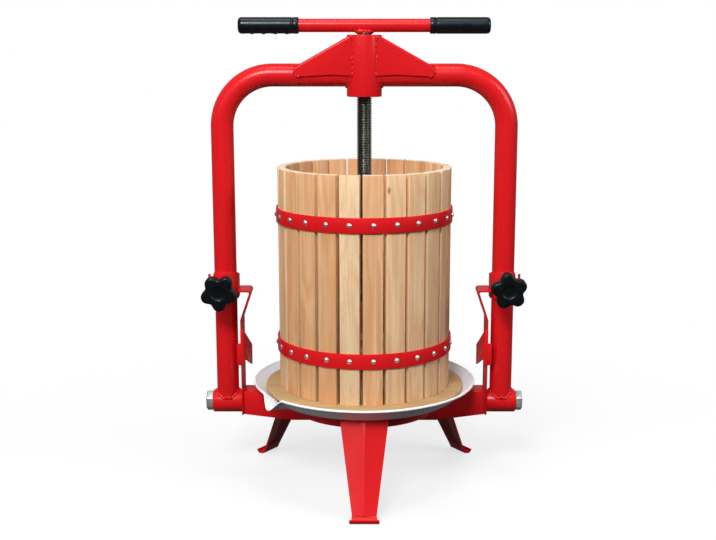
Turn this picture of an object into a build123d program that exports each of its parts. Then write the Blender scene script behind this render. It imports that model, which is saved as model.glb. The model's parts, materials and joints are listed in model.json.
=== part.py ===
from build123d import *
import os
from math import cos, hypot, radians, sin, sqrt

os.makedirs("parts", exist_ok=True)

# Fruit press: a slatted wooden basket stands on a drip tray, inside a steel arch that carries a screw.
# Millimetres, +Z up, the front faces -Y. The origin is on the floor, on the axis of basket and screw.

# Clearances and stock
RUN_FIT = 0.08           # shaft in its bore, per side
SLIP = 0.4               # between pieces that pass each other or sit loosely
TUBE_OD = 36.5
TUBE_WALL = 2.5
SLEEVE_OD = 38.0         # pivot sleeves, a size up from the tube
PLATE = 3.0              # folded sheet of the base, the straps and the arch gussets

# Base: round pan on three legs, with a crossbar out to the two pivots
SEAT_Z = 145.0           # top of the pan, where the drip tray rests
PAN_R = 117.0
PAN_DEPTH = 24.0
PAN_SHEET = 4.0
PIVOT_DROP = 14.5        # pivot's axis below the seat
NUT_ROOM = 2.0           # beside the pivot nut, inside the crossbar
NUT_HEADROOM = 0.7       # over the pivot nut
CROSSBAR_DEEP = 39.0     # height of its middle, below the pan's top sheet
CROSSBAR_END_LOW = 18.0  # from the pivot down to its lower edge at the ends
CROSSBAR_KNEE = 120.0    # where its lower edge starts to rise
CROSSBAR_STEP_BACK = 4.0 # where its upper edge starts to rise, inside the tray's floor edge
CROSSBAR_STEP_RUN = 22.0

# Legs: V-folded sheet, the ridge outwards, ending in a curled toe
LEG_TURN = 124.0         # azimuth of the rear legs, from the front
LEG_STAND = 20.0         # side edges outside the pan's wall, at the seat's height
LEG_SPREAD = 65.0        # side edges further out where the toe starts
LEG_TOP_FOLD = 10.0      # ridge in front of the side edges
LEG_FOOT_FOLD = 2.5
LEG_TOP_HALF = 38.8
LEG_FOOT_HALF = 19.2
LEG_TAB_HALF = 30.0
LEG_TOE_RISE = 10.0
LEG_TOE_LAP = 8.0        # toe's sheet behind the foot of the flats
LEG_TOE_BEND = 2.5
LEG_TOE_REACH = 12.0     # toe's tip beyond the foot of the flats
LEG_TIP_RISE = 8.0       # height and lean of the toe's upturned end
LEG_TIP_LEAN = 2.0
LEG_TOE_HALF = 23.5

# Drip tray and the board in it
TRAY_SHEET = 1.5
TRAY_FLOOR_R = 154.0
TRAY_RIM_R = 182.0
TRAY_DEPTH = 26.0
TRAY_LIP = 2.5
TRAY_GAP = 17.0          # from the rim to the straps at both sides
SPOUT_AZIMUTH = -53.5    # from the front, towards the right hand side positive
SPOUT_REACH = 8.0        # beyond the rim
SPOUT_HALF_TOP = 22.0
SPOUT_HALF_FLOOR = 6.0
BOARD_LIFT = 10.5        # from the tray's floor sheet up to the board
BOARD_THICK = 8.0

# Basket
STAVE_COUNT = 24
STAVE_FACE_R = 140.5     # axis to the flat outer face
STAVE_THICK = 13.0
STAVE_WIDTH = 31.0
STAVE_LENGTH = 361.0
STAVE_EDGE = 1.5
BASKET_TURN = 5.6        # azimuth of the first stave
BAND_HEIGHT = 24.0
BAND_THICK = 2.5
BAND_LOWER = 72.0        # band's middle above the basket's lower end
BAND_UPPER = 76.0        # band's middle below the basket's upper end
BAND_SEAT = 0.1
RIVET_HEAD_R = 4.2
RIVET_HEAD_H = 2.6
RIVET_R = 2.0
RIVET_LENGTH = 10.0      # from the band's outer face inwards

# Pressing boards and blocks inside the basket
PRESS_BOARD_GAP = 4.0    # to the staves
PRESS_BOARD_THICK = 20.0
PRESS_BOARD_SPLIT = 4.0
BLOCK_SIZE = 45.0
BLOCK_LENGTH = 170.0
BLOCK_GAP = 45.0

# Arch
ARCH_RISE = 541.5        # bar's axis above the pivot
ARCH_BEND = 82.0
PIVOT_R = 10.0
SLEEVE_LENGTH = 48.4
BOLT_FLATS = 30.0
BOLT_HEAD_H = 11.3
BOLT_NUT_H = 14.0
BOLT_END = 4.0           # bolt beyond its nut
BOSS_R = 28.0
BOSS_ABOVE = 63.0        # from the bar's axis
BOSS_BELOW = 34.0
GUSSET_FLAT = 26.0       # level part of its fold, beside the boss
GUSSET_SHOULDER = 104.0
GUSSET_TIP = 7.0         # rounded end beyond the shoulder
GUSSET_TOP_GAP = 2.5     # boss top down to the gusset's upper corner
GUSSET_END_RISE = 17.0   # shoulder above the tube's axis
GUSSET_DROP = 2.0        # lower edge below the tube's axis
GUSSET_ARCH = 2.5        # rise of the lower edge in its middle
GUSSET_ROUND = 4.0

# Lead screw, nut, foot and handle
SCREW_R = 12.4
SCREW_DROP = 313.0       # from the boss down to the screw's shoulder on the foot
NUT_R = 20.0
NUT_INSET = 5.0          # from each end of the boss
FOOT_R = 30.0
FOOT_THICK = 16.0
FOOT_FLOOR = 5.0
JOURNAL_R = 7.0
HANDLE_CLEAR = 4.0       # handle bar above the boss
HANDLE_R = 10.5
HANDLE_HALF = 200.2
HANDLE_SPIGOT_R = 7.0
HANDLE_SPIGOT = 16.0
HANDLE_WELD = 0.2        # screw's shoulder below the handle bar
GRIP_R = 13.0
GRIP_LENGTH = 96.0
GRIP_CAP = 3.0

# Latches: a strap beside each post ends in a saddle round the post, with a knob screw
STRAP_WIDTH = 45.0
STRAP_BELOW = 19.0       # strap's lower end below the pivot
STRAP_LEAN = 17.2
STRAP_BEND = 5.0
LATCH_RISE = 187.0       # axis of the knob above the seat
LATCH_OUT = 3.5          # axis of the knob outwards of the post's axis
KNEE_DROP = 58.0         # strap's knee below the knob's axis
SHELF_DROP = 7.7         # strap's shelf below the knob's axis
SADDLE_SHEET = 2.5
SADDLE_LOW = 24.0        # below and above the knob's axis
SADDLE_HIGH = 22.0
SADDLE_BACK = 18.0
SADDLE_STRAIGHT = 5.0
SADDLE_FLARE = 11.0
SADDLE_CUT = 12.0        # front of the cut in the saddle's upper edge, from the post's axis
SADDLE_CUT_RISE = 6.0    # that cut's floor above the knob's axis, and the ear's top behind it
SADDLE_EAR_RISE = 13.0
SADDLE_EAR = 4.0
SADDLE_FALL = 9.0        # slope of the inner side's upper edge, to its back
PAD_R = 12.0
PAD_STAND = 4.0
STOP_DROP = 16.0         # stop's upper edge below the strap's knee
STOP_HEIGHT = 59.5
STOP_STEP = 22.5         # notch beside the post, from the upper edge down
STOP_SLOPE = 36.0        # fall of the wing's upper edge from front to back
STOP_WING_DROP = 1.0
STOP_WING_HEIGHT = 46.0  # at its fold and at its back edge
STOP_WING_TAIL = 33.5
STOP_WING_BACK = 17.0
STOP_FOLD_IN = 0.5       # wing's fold, inwards from the strap
STOP_WING_IN = 9.6       # wing's back edge, inwards from the strap
STUD_R = 5.0
STUD_GAP = 1.0           # tip of the loosened stud in front of the post
STUD_HOLD = 12.0         # length inside the knob
STUD_PLAY = 0.2
KNOB_TRAVEL = 12.0
BUSH_R = 8.0
BUSH_LENGTH = 12.0
WASHER_R = 11.0
WASHER_THICK = 2.0
KNOB_R = 26.5
KNOB_LOBES = 5
KNOB_LOBE = 3.5
KNOB_POINTS = 40
KNOB_HEAD = 22.0
KNOB_EDGE = 2.5
KNOB_HUB_R = 13.0
KNOB_HUB = 14.0
KNOB_DISH_R = 12.0
KNOB_DISH = 1.5
KNOB_TURN_RIGHT = 26.0   # turn of each star
KNOB_TURN_LEFT = 53.0

# Levels and places that follow
PIVOT_Z = SEAT_Z - PIVOT_DROP
TRAY_RIM_Z = SEAT_Z + TRAY_DEPTH
BOARD_Z = SEAT_Z + TRAY_SHEET + BOARD_LIFT
BASKET_Z = BOARD_Z + BOARD_THICK
BAND_LEVELS = (BASKET_Z + BAND_LOWER, BASKET_Z + STAVE_LENGTH - BAND_UPPER)
ARCH_BAR_Z = PIVOT_Z + ARCH_RISE
BOSS_TOP = ARCH_BAR_Z + BOSS_ABOVE
BOSS_BOTTOM = ARCH_BAR_Z - BOSS_BELOW
SCREW_LOW = BOSS_BOTTOM - SCREW_DROP
HANDLE_Z = BOSS_TOP + HANDLE_CLEAR + HANDLE_R
LATCH_Z = SEAT_Z + LATCH_RISE
STRAP_KNEE = LATCH_Z - KNEE_DROP
STOP_TOP = STRAP_KNEE - STOP_DROP
LEG_TOP_R = PAN_R + LEG_STAND
LEG_FOOT_R = LEG_TOP_R + LEG_SPREAD
LEG_TOE_R = LEG_FOOT_R + LEG_TOE_REACH
CROSSBAR_WIDTH = BOLT_FLATS + 2 * (NUT_ROOM + PLATE)
CROSSBAR_END = TRAY_RIM_R + TRAY_LIP + TRAY_GAP
SLEEVE_START = CROSSBAR_END + PLATE + SLIP
SLEEVE_END = SLEEVE_START + SLEEVE_LENGTH
POST_X = SLEEVE_START + SLEEVE_LENGTH / 2
KNOB_X = POST_X + LATCH_OUT
TUBE_R = TUBE_OD / 2
SLEEVE_R = SLEEVE_OD / 2
SADDLE_R = TUBE_R + SLIP
TRAY_SLOPE = (TRAY_RIM_R - TRAY_FLOOR_R) / TRAY_DEPTH
TRAY_WALL_RUN = TRAY_SHEET * hypot(1, TRAY_SLOPE)
BAND_R = hypot(STAVE_FACE_R, STAVE_WIDTH / 2) + BAND_SEAT
PRESS_BOARD_R = STAVE_FACE_R - STAVE_THICK - PRESS_BOARD_GAP
PAD_FACE = -(SADDLE_R + SADDLE_SHEET + PAD_STAND)
STUD_TIP = -(TUBE_R + STUD_GAP)
WASHER_FACE = PAD_FACE - KNOB_TRAVEL - SLIP
KNOB_BACK = WASHER_FACE - WASHER_THICK
SCREW_TOP = HANDLE_Z - HANDLE_R - HANDLE_WELD


def about_axis(shape, azimuth):
    """A piece made at the front, turned about the vertical axis."""
    return Rot(0, 0, azimuth) * shape


def mirrored(shape):
    """The left hand twin of a right hand piece."""
    return mirror(shape, about=Plane.YZ)


def side_plate(points, y_low, y_high):
    """A plate with the outline points (x, z), between two depths."""
    face = make_face(Polyline(*[(x, y_low, z) for x, z in points], close=True))
    return extrude(face, amount=y_high - y_low, dir=(0, 1, 0))


def rod(radius, start, end):
    """A cylinder between two points."""
    axis = Vector(*end) - Vector(*start)
    return extrude(Plane(origin=start, z_dir=axis) * Circle(radius), amount=axis.length)


def ring(outer, inner, start, end):
    """A hollow cylinder between two points."""
    return rod(outer, start, end) - rod(inner, start, end)


def turned(points):
    """A body of revolution about the vertical axis, from its half outline (radius, z)."""
    return revolve(Plane.XZ * make_face(Polyline(*points, close=True)), axis=Axis.Z)


def strip(path, thick, side):
    """The face of a bent sheet, thickened to one side of its path."""
    return make_face(offset(path, amount=thick, side=side, closed=True))


def hexagon(flats, x_low, x_high):
    """A hexagonal prism about the pivot's axis, a flat side up front."""
    section = Plane.YZ * RegularPolygon(flats / 2, 6, major_radius=False, rotation=30)
    return Pos(x_low, 0, PIVOT_Z) * extrude(section, amount=x_high - x_low)


# Base

def base_pan():
    """Round pan, open below, with a notch on each side for the crossbar."""
    wall_z = SEAT_Z - PAN_DEPTH
    shell = turned([
        (0, SEAT_Z), (PAN_R, SEAT_Z), (PAN_R, wall_z), (PAN_R - PAN_SHEET, wall_z),
        (PAN_R - PAN_SHEET, SEAT_Z - PAN_SHEET), (0, SEAT_Z - PAN_SHEET)])
    notch_top = SEAT_Z - PAN_SHEET
    notch = Box(4 * PAN_R, CROSSBAR_WIDTH, notch_top - wall_z, align=(Align.CENTER, Align.CENTER, Align.MIN))
    return shell - Pos(0, 0, wall_z) * notch


def base_crossbar():
    """Folded channel, open below, deepest under the pan and rising to both pivots."""
    top = SEAT_Z - PAN_SHEET
    low = top - CROSSBAR_DEEP
    end_top = PIVOT_Z + BOLT_FLATS / sqrt(3) + NUT_HEADROOM + PLATE
    end_low = PIVOT_Z - CROSSBAR_END_LOW
    step = TRAY_FLOOR_R - CROSSBAR_STEP_BACK
    upper = [(step, top), (step + CROSSBAR_STEP_RUN, end_top), (CROSSBAR_END, end_top)]
    lower = [(CROSSBAR_END, end_low), (CROSSBAR_KNEE, low)]
    right = upper + lower
    outline = right + [(-x, z) for x, z in reversed(right)]
    half = CROSSBAR_WIDTH / 2
    front = side_plate(outline, -half, PLATE - half)
    back = side_plate(outline, half - PLATE, half)
    over = [(-x, z) for x, z in reversed(upper)] + upper
    under = [(x, z - PLATE) for x, z in reversed(over)]
    return front + back + side_plate(over + under, -half, half)


def leg_line(edge_r, half, fold):
    """Outer outline of the front leg's folded sheet, seen from above."""
    return [(-half, -edge_r), (0, -edge_r - fold), (half, -edge_r)]


def leg_toe(slope):
    """Curled toe of the front leg, spreading towards its tip."""
    heel_r = LEG_FOOT_R + slope * (LEG_TOE_RISE - PLATE)
    lap_r = LEG_FOOT_R - slope * LEG_TOE_LAP
    top = LEG_TOE_RISE + LEG_TOE_LAP
    path = FilletPolyline(
        (-LEG_TOE_R, LEG_TIP_RISE), (LEG_TIP_LEAN - LEG_TOE_R, PLATE), (-heel_r, PLATE), (-lap_r, top),
        radius=LEG_TOE_BEND)
    sheet = extrude(Plane.YZ * strip(path, PLATE, Side.RIGHT), amount=LEG_TOE_HALF, both=True)
    half_plan = [(LEG_FOOT_HALF, 0), (LEG_FOOT_HALF, -LEG_FOOT_R), (LEG_TOE_HALF, -LEG_TOE_R - PLATE)]
    plan = half_plan + [(-x, y) for x, y in reversed(half_plan)]
    return sheet & extrude(make_face(Polyline(*plan, close=True)), amount=2 * top)


def leg():
    """The front leg: two flats meeting at a ridge, a tab back to the pan's wall, and a toe."""
    slope = (LEG_FOOT_R - LEG_TOP_R) / (SEAT_Z - LEG_TOE_RISE)
    run = PLATE * hypot(1, slope)

    def section(line, z):
        back = [(x, y + run) for x, y in reversed(line)]
        return Pos(0, 0, z) * make_face(Polyline(*line, *back, close=True))

    top_line = leg_line(LEG_TOP_R, LEG_TOP_HALF, LEG_TOP_FOLD)
    foot_line = leg_line(LEG_FOOT_R, LEG_FOOT_HALF, LEG_FOOT_FOLD)
    flats = loft([section(foot_line, LEG_TOE_RISE), section(top_line, SEAT_Z)], ruled=True)
    tab_front = LEG_TOP_R + LEG_TOP_FOLD * (1 - LEG_TAB_HALF / LEG_TOP_HALF)
    tab_line = leg_line(tab_front, LEG_TAB_HALF, LEG_TOP_R + LEG_TOP_FOLD - tab_front)
    tab_plan = make_face(Polyline(*tab_line, (LEG_TAB_HALF, 0), (-LEG_TAB_HALF, 0), close=True))
    tab = Pos(0, 0, SEAT_Z - PLATE) * extrude(tab_plan, amount=PLATE)
    pan = rod(PAN_R, (0, 0, 0), (0, 0, SEAT_Z))
    return flats + tab + leg_toe(slope) - pan


# Drip tray

def tray_wall_r(z):
    """Inner radius of the tray's sloping wall at a height."""
    return TRAY_FLOOR_R + (z - SEAT_Z) * TRAY_SLOPE - TRAY_WALL_RUN


def drip_tray():
    """Shallow dish with a sloping wall and a V-shaped spout at the level of its floor."""
    floor_z = SEAT_Z + TRAY_SHEET
    rim_in = tray_wall_r(TRAY_RIM_Z)
    hollow = [(tray_wall_r(floor_z), floor_z), (rim_in, TRAY_RIM_Z)]
    dish = turned([
        (0, SEAT_Z), (TRAY_FLOOR_R, SEAT_Z), (TRAY_RIM_R, TRAY_RIM_Z - TRAY_SHEET),
        (TRAY_RIM_R + TRAY_LIP, TRAY_RIM_Z - TRAY_SHEET), (TRAY_RIM_R + TRAY_LIP, TRAY_RIM_Z),
        hollow[1], hollow[0], (0, floor_z)])
    inside = turned([(0, floor_z), *hollow, (0, TRAY_RIM_Z)])
    spout_end = TRAY_RIM_R + SPOUT_REACH
    spout_start = TRAY_FLOOR_R - TRAY_WALL_RUN
    side_run = TRAY_SHEET * hypot(1, (SPOUT_HALF_TOP - SPOUT_HALF_FLOOR) / TRAY_DEPTH)
    groove = [
        (-SPOUT_HALF_TOP, TRAY_RIM_Z), (-SPOUT_HALF_FLOOR, floor_z),
        (SPOUT_HALF_FLOOR, floor_z), (SPOUT_HALF_TOP, TRAY_RIM_Z)]
    skin = [
        (-SPOUT_HALF_TOP - side_run, TRAY_RIM_Z), (-SPOUT_HALF_FLOOR - side_run, SEAT_Z),
        (SPOUT_HALF_FLOOR + side_run, SEAT_Z), (SPOUT_HALF_TOP + side_run, TRAY_RIM_Z)]
    channel = about_axis(side_plate(groove, -spout_end, -spout_start), SPOUT_AZIMUTH)
    trough = about_axis(side_plate(skin, -spout_end, -spout_start), SPOUT_AZIMUTH)
    return dish - channel + (trough - channel - inside)


def base_board():
    """Round board that lies in the tray, on its sloping wall."""
    radius = tray_wall_r(BOARD_Z) - SLIP
    return rod(radius, (0, 0, BOARD_Z), (0, 0, BASKET_Z))


# Basket

def stave(azimuth):
    """One flat stave, its outer edges rounded, with a hole for each band's rivet."""
    middle = STAVE_FACE_R - STAVE_THICK / 2
    board = Pos(0, -middle, BASKET_Z + STAVE_LENGTH / 2) * Box(STAVE_WIDTH, STAVE_THICK, STAVE_LENGTH)
    outer_edges = board.edges().filter_by(Axis.Z).group_by(Axis.Y)[0]
    board = fillet(outer_edges, STAVE_EDGE)
    for z in BAND_LEVELS:
        board -= rod(RIVET_R, (0, -BAND_R, z), (0, -(BAND_R + BAND_THICK - RIVET_LENGTH), z))
    return about_axis(board, azimuth)


def stave_azimuths():
    return [BASKET_TURN + 360 / STAVE_COUNT * index for index in range(STAVE_COUNT)]


def band(z):
    """Hoop round the staves, drilled for one rivet in each."""
    outer = BAND_R + BAND_THICK
    hoop = ring(outer, BAND_R, (0, 0, z - BAND_HEIGHT / 2), (0, 0, z + BAND_HEIGHT / 2))
    drill = rod(RIVET_R, (0, -BAND_R + BAND_THICK, z), (0, -outer - BAND_THICK, z))
    return hoop - [about_axis(drill, azimuth) for azimuth in stave_azimuths()]


def band_rivets():
    """A round-headed nail through each band into each stave."""
    face = BAND_R + BAND_THICK
    cap_r = (RIVET_HEAD_R ** 2 + RIVET_HEAD_H ** 2) / (2 * RIVET_HEAD_H)
    cap = Sphere(cap_r) & Pos(0, 0, cap_r - RIVET_HEAD_H) * Cylinder(
        RIVET_HEAD_R, RIVET_HEAD_H, align=(Align.CENTER, Align.CENTER, Align.MIN))
    cap = Pos(0, -face, 0) * Rot(90, 0, 0) * Pos(0, 0, RIVET_HEAD_H - cap_r) * cap
    nail = cap + rod(RIVET_R, (0, -face, 0), (0, -(face - RIVET_LENGTH), 0))
    return Compound(children=[
        Pos(0, 0, z) * about_axis(nail, azimuth) for z in BAND_LEVELS for azimuth in stave_azimuths()])


# Pressing boards and blocks

def press_boards():
    """Two half-moon boards that cover the fruit."""
    disc = rod(PRESS_BOARD_R, (0, 0, BASKET_Z), (0, 0, BASKET_Z + PRESS_BOARD_THICK))
    saw = Box(PRESS_BOARD_SPLIT, 4 * PRESS_BOARD_R, 4 * SEAT_Z)
    return disc - saw


def press_blocks():
    """Two square blocks across the half-moon boards."""
    z = BASKET_Z + PRESS_BOARD_THICK + BLOCK_SIZE / 2
    block = Pos(0, 0, z) * Box(BLOCK_LENGTH, BLOCK_SIZE, BLOCK_SIZE)
    return Compound(children=[Pos(0, side * (BLOCK_GAP + BLOCK_SIZE) / 2, 0) * block for side in (-1, 1)])


# Arch

def arch_tube():
    """Right half of the arch, from the pivot sleeve up and over to the boss."""
    start = (POST_X, 0, PIVOT_Z)
    path = FilletPolyline(start, (POST_X, 0, ARCH_BAR_Z), (0, 0, ARCH_BAR_Z), radius=ARCH_BEND)
    section = Plane(origin=start, z_dir=(0, 0, 1)) * (Circle(TUBE_R) - Circle(TUBE_R - TUBE_WALL))
    tube = sweep(section, path=path)
    tube -= rod(SLEEVE_R, (SLEEVE_START, 0, PIVOT_Z), (SLEEVE_END, 0, PIVOT_Z))
    tube -= rod(BOSS_R, (0, 0, BOSS_BOTTOM), (0, 0, BOSS_TOP))
    return tube - rod(BUSH_R, (KNOB_X, 0, LATCH_Z), (KNOB_X, -TUBE_OD, LATCH_Z))


def pivot_sleeve():
    """Sleeve across the foot of the right post."""
    return ring(SLEEVE_R, PIVOT_R + RUN_FIT, (SLEEVE_START, 0, PIVOT_Z), (SLEEVE_END, 0, PIVOT_Z))


def pivot_bolt():
    """Right pivot bolt, from its head outside the sleeve to its end inside the crossbar."""
    head = SLEEVE_END + SLIP
    shank = rod(PIVOT_R, (CROSSBAR_END - BOLT_NUT_H - BOLT_END, 0, PIVOT_Z), (head, 0, PIVOT_Z))
    return shank + hexagon(BOLT_FLATS, head, head + BOLT_HEAD_H)


def pivot_nut():
    """Nut of the right pivot bolt, against the strap, inside the crossbar."""
    low, high = CROSSBAR_END - BOLT_NUT_H, CROSSBAR_END
    bore = rod(PIVOT_R + RUN_FIT, (low, 0, PIVOT_Z), (high, 0, PIVOT_Z))
    return hexagon(BOLT_FLATS, low, high) - bore


def screw_boss():
    """Upright boss in the middle of the arch, bored for the lead nut."""
    return ring(BOSS_R, NUT_R + RUN_FIT, (0, 0, BOSS_BOTTOM), (0, 0, BOSS_TOP))


def arch_gusset():
    """Right gusset: a folded cover over the arch tube, sloping up to the boss."""
    top = BOSS_TOP - GUSSET_TOP_GAP
    shoulder, low = ARCH_BAR_Z + GUSSET_END_RISE, ARCH_BAR_Z - GUSSET_DROP
    slope = [(0, top), (GUSSET_FLAT, top), (GUSSET_SHOULDER, shoulder)]
    tip = [
        (GUSSET_SHOULDER + GUSSET_TIP * sin(radians(a)), (shoulder + low) / 2 + (shoulder - low) / 2 * cos(radians(a)))
        for a in (45, 80, 110, 145, 180)]
    outline = slope + tip + [(GUSSET_SHOULDER / 2, low + GUSSET_ARCH), (0, low)]
    inner = TUBE_R
    outer = inner + PLATE
    fold = slope + [(x, z - PLATE) for x, z in reversed(slope)]
    cover = side_plate(outline, -outer, -inner) + side_plate(outline, inner, outer)
    cover += side_plate(fold, -outer, outer)
    slant = Vector(GUSSET_SHOULDER - GUSSET_FLAT, 0, shoulder - top).normalized()
    along = Plane(origin=(GUSSET_SHOULDER, 0, shoulder), x_dir=slant, z_dir=(-slant.Z, 0, slant.X))
    form = Box(4 * GUSSET_SHOULDER, 2 * outer, 4 * BOSS_ABOVE, align=(Align.CENTER, Align.CENTER, Align.MAX))
    form = fillet(form.edges().filter_by(Axis.X).group_by(Axis.Z)[-1], GUSSET_ROUND)
    cover &= along * form
    tube = rod(TUBE_R, (0, 0, ARCH_BAR_Z), (POST_X, 0, ARCH_BAR_Z))
    return cover - tube - rod(BOSS_R, (0, 0, BOSS_BOTTOM), (0, 0, BOSS_TOP))


# Lead screw

def lead_nut():
    """Nut inside the boss. Its thread, like the screw's, is plain here, at the thread's outer size."""
    low, high = BOSS_BOTTOM + NUT_INSET, BOSS_TOP - NUT_INSET
    return ring(NUT_R, SCREW_R + RUN_FIT, (0, 0, low), (0, 0, high))


def drive_screw():
    """Lead screw, with a journal in the foot below and a spigot in the handle above."""
    journal_low = SCREW_LOW - FOOT_THICK + FOOT_FLOOR + RUN_FIT
    journal = rod(JOURNAL_R, (0, 0, journal_low), (0, 0, SCREW_LOW))
    stem = rod(SCREW_R, (0, 0, SCREW_LOW), (0, 0, SCREW_TOP))
    spigot = rod(HANDLE_SPIGOT_R, (0, 0, SCREW_TOP), (0, 0, SCREW_TOP + HANDLE_SPIGOT))
    return journal + stem + spigot


def press_foot():
    """Round foot that stays still while the screw turns in it."""
    top = SCREW_LOW - SLIP
    low = SCREW_LOW - FOOT_THICK
    socket = rod(JOURNAL_R + RUN_FIT, (0, 0, low + FOOT_FLOOR), (0, 0, top))
    return rod(FOOT_R, (0, 0, low), (0, 0, top)) - socket


def handle_bar():
    """Cross handle, drilled for the screw's spigot."""
    end = HANDLE_HALF - GRIP_CAP
    bar = rod(HANDLE_R, (-end, 0, HANDLE_Z), (end, 0, HANDLE_Z))
    depth = SCREW_TOP + HANDLE_SPIGOT
    return bar - rod(HANDLE_SPIGOT_R, (0, 0, HANDLE_Z - 2 * HANDLE_R), (0, 0, depth))


def handle_grip():
    """Right hand grip, closed at its end."""
    start = HANDLE_HALF - GRIP_LENGTH
    grip = rod(GRIP_R, (start, 0, HANDLE_Z), (HANDLE_HALF, 0, HANDLE_Z))
    return grip - rod(HANDLE_R, (start, 0, HANDLE_Z), (HANDLE_HALF - GRIP_CAP, 0, HANDLE_Z))


# Latches

def latch_strap():
    """Right strap: up from the pivot beside the post, then in, and out again as a shelf."""
    shelf_z = LATCH_Z - SHELF_DROP
    saddle_face = POST_X - SADDLE_R - SADDLE_SHEET
    inner = CROSSBAR_END
    path = FilletPolyline(
        (inner, PIVOT_Z - STRAP_BELOW), (inner, STRAP_KNEE), (inner - STRAP_LEAN, shelf_z),
        (saddle_face, shelf_z), radius=STRAP_BEND)
    sheet = extrude(Plane.XZ * strip(path, PLATE, Side.RIGHT), amount=STRAP_WIDTH / 2, both=True)
    return sheet - rod(PIVOT_R + RUN_FIT, (0, 0, PIVOT_Z), (POST_X, 0, PIVOT_Z))


def latch_saddle():
    """Right saddle: a cradle open to the back, with a pad in front for the knob screw."""
    low, high = LATCH_Z - SADDLE_LOW, LATCH_Z + SADDLE_HIGH
    path = Polyline((-SADDLE_R, SADDLE_BACK), (-SADDLE_R, 0)) + ThreePointArc(
        (-SADDLE_R, 0), (0, -SADDLE_R), (SADDLE_R, 0)) + Polyline(
        (SADDLE_R, 0), (SADDLE_R, SADDLE_STRAIGHT), (SADDLE_R + SADDLE_FLARE, SADDLE_BACK))
    face = strip(Wire(path.edges()), SADDLE_SHEET, Side.RIGHT)
    cradle = Pos(POST_X, 0, low) * extrude(face, amount=high - low)
    back = SADDLE_BACK + SADDLE_SHEET
    ear = SADDLE_BACK - SADDLE_EAR
    outer_cut = [
        (-SADDLE_CUT, high), (0, LATCH_Z + SADDLE_CUT_RISE), (ear, LATCH_Z + SADDLE_CUT_RISE),
        (ear, LATCH_Z + SADDLE_EAR_RISE), (back, LATCH_Z + SADDLE_EAR_RISE), (back, high)]
    inner_cut = [(-SADDLE_CUT, high), (back, high - SADDLE_FALL), (back, high)]
    for cut, way in ((outer_cut, 1), (inner_cut, -1)):
        trim = make_face(Polyline(*[(POST_X, y, z) for y, z in cut], close=True))
        cradle -= extrude(trim, amount=TUBE_OD, dir=(way, 0, 0))
    pad = rod(PAD_R, (KNOB_X, 0, LATCH_Z), (KNOB_X, PAD_FACE, LATCH_Z))
    bed = rod(SADDLE_R, (POST_X, 0, low), (POST_X, 0, high))
    hole = rod(STUD_R + STUD_PLAY, (KNOB_X, 0, LATCH_Z), (KNOB_X, 2 * PAD_FACE, LATCH_Z))
    return cradle + (pad - bed) - hole


def strap_stop():
    """Right stop: a folded sheet across the strap's front edge, with a sloping wing behind it."""
    front = -STRAP_WIDTH / 2
    fold_x = CROSSBAR_END - STOP_FOLD_IN
    post_side = POST_X - SADDLE_R
    path = Polyline((post_side, front), (fold_x, front), (CROSSBAR_END - STOP_WING_IN, STOP_WING_BACK))
    low = STOP_TOP - STOP_HEIGHT
    wing_top = STOP_TOP - STOP_WING_DROP
    tail_top = wing_top - STOP_SLOPE
    tail_low = tail_top - STOP_WING_TAIL
    sheet = Pos(0, 0, tail_low) * extrude(strip(path, PLATE, Side.LEFT), amount=STOP_TOP - tail_low)
    tail = STOP_WING_BACK + PLATE
    wing_points = [(front, wing_top), (tail, tail_top), (tail, tail_low), (front, wing_top - STOP_WING_HEIGHT)]
    wing = extrude(
        make_face(Polyline(*[(0, y, z) for y, z in wing_points], close=True)), amount=POST_X, dir=(1, 0, 0))
    step_x = CROSSBAR_END + PLATE
    step_z = STOP_TOP - STOP_STEP
    flange = side_plate(
        [(fold_x - PLATE, low), (post_side, low), (post_side, step_z),
         (step_x, step_z), (step_x, STOP_TOP), (fold_x - PLATE, STOP_TOP)], front - PLATE, front)
    return sheet & (wing + flange)


def latch_bush():
    """Threaded bush in the right post, for the knob's stud."""
    start = -sqrt(TUBE_R ** 2 - (LATCH_OUT + BUSH_R) ** 2)
    bush = rod(BUSH_R, (KNOB_X, start, LATCH_Z), (KNOB_X, start + BUSH_LENGTH, LATCH_Z))
    return bush - rod(STUD_R + STUD_PLAY, (KNOB_X, -TUBE_R, LATCH_Z), (KNOB_X, TUBE_R, LATCH_Z))


def knob_washer():
    """Right washer behind the knob."""
    return ring(
        WASHER_R, STUD_R + STUD_PLAY, (KNOB_X, WASHER_FACE, LATCH_Z), (KNOB_X, KNOB_BACK, LATCH_Z))


def knob_stud():
    """Right stud, fixed in the knob."""
    return rod(STUD_R, (KNOB_X, KNOB_BACK - STUD_HOLD, LATCH_Z), (KNOB_X, STUD_TIP, LATCH_Z))


def knob(turn):
    """Right star knob: a lobed head on a round hub, with a shallow dish in front."""
    angles = [360 / KNOB_POINTS * index for index in range(KNOB_POINTS)]
    radii = [KNOB_R + KNOB_LOBE * cos(radians(KNOB_LOBES * angle)) for angle in angles]
    points = [(r * cos(radians(a)), r * sin(radians(a))) for r, a in zip(radii, angles)]
    head = extrude(make_face(Spline(*points, periodic=True)), amount=KNOB_HEAD)
    rims = head.edges().filter_by(lambda edge: edge.length > 4 * KNOB_R)
    head = fillet(rims, KNOB_EDGE)
    head -= Pos(0, 0, KNOB_HEAD - KNOB_DISH) * Cylinder(
        KNOB_DISH_R, 2 * KNOB_DISH, align=(Align.CENTER, Align.CENTER, Align.MIN))
    hub = Cylinder(KNOB_HUB_R, KNOB_HUB, align=(Align.CENTER, Align.CENTER, Align.MIN))
    body = hub + Pos(0, 0, KNOB_HUB) * Rot(0, 0, turn) * head
    body -= Cylinder(STUD_R, 2 * STUD_HOLD)
    return Pos(KNOB_X, KNOB_BACK, LATCH_Z) * Rot(90, 0, 0) * body


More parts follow.
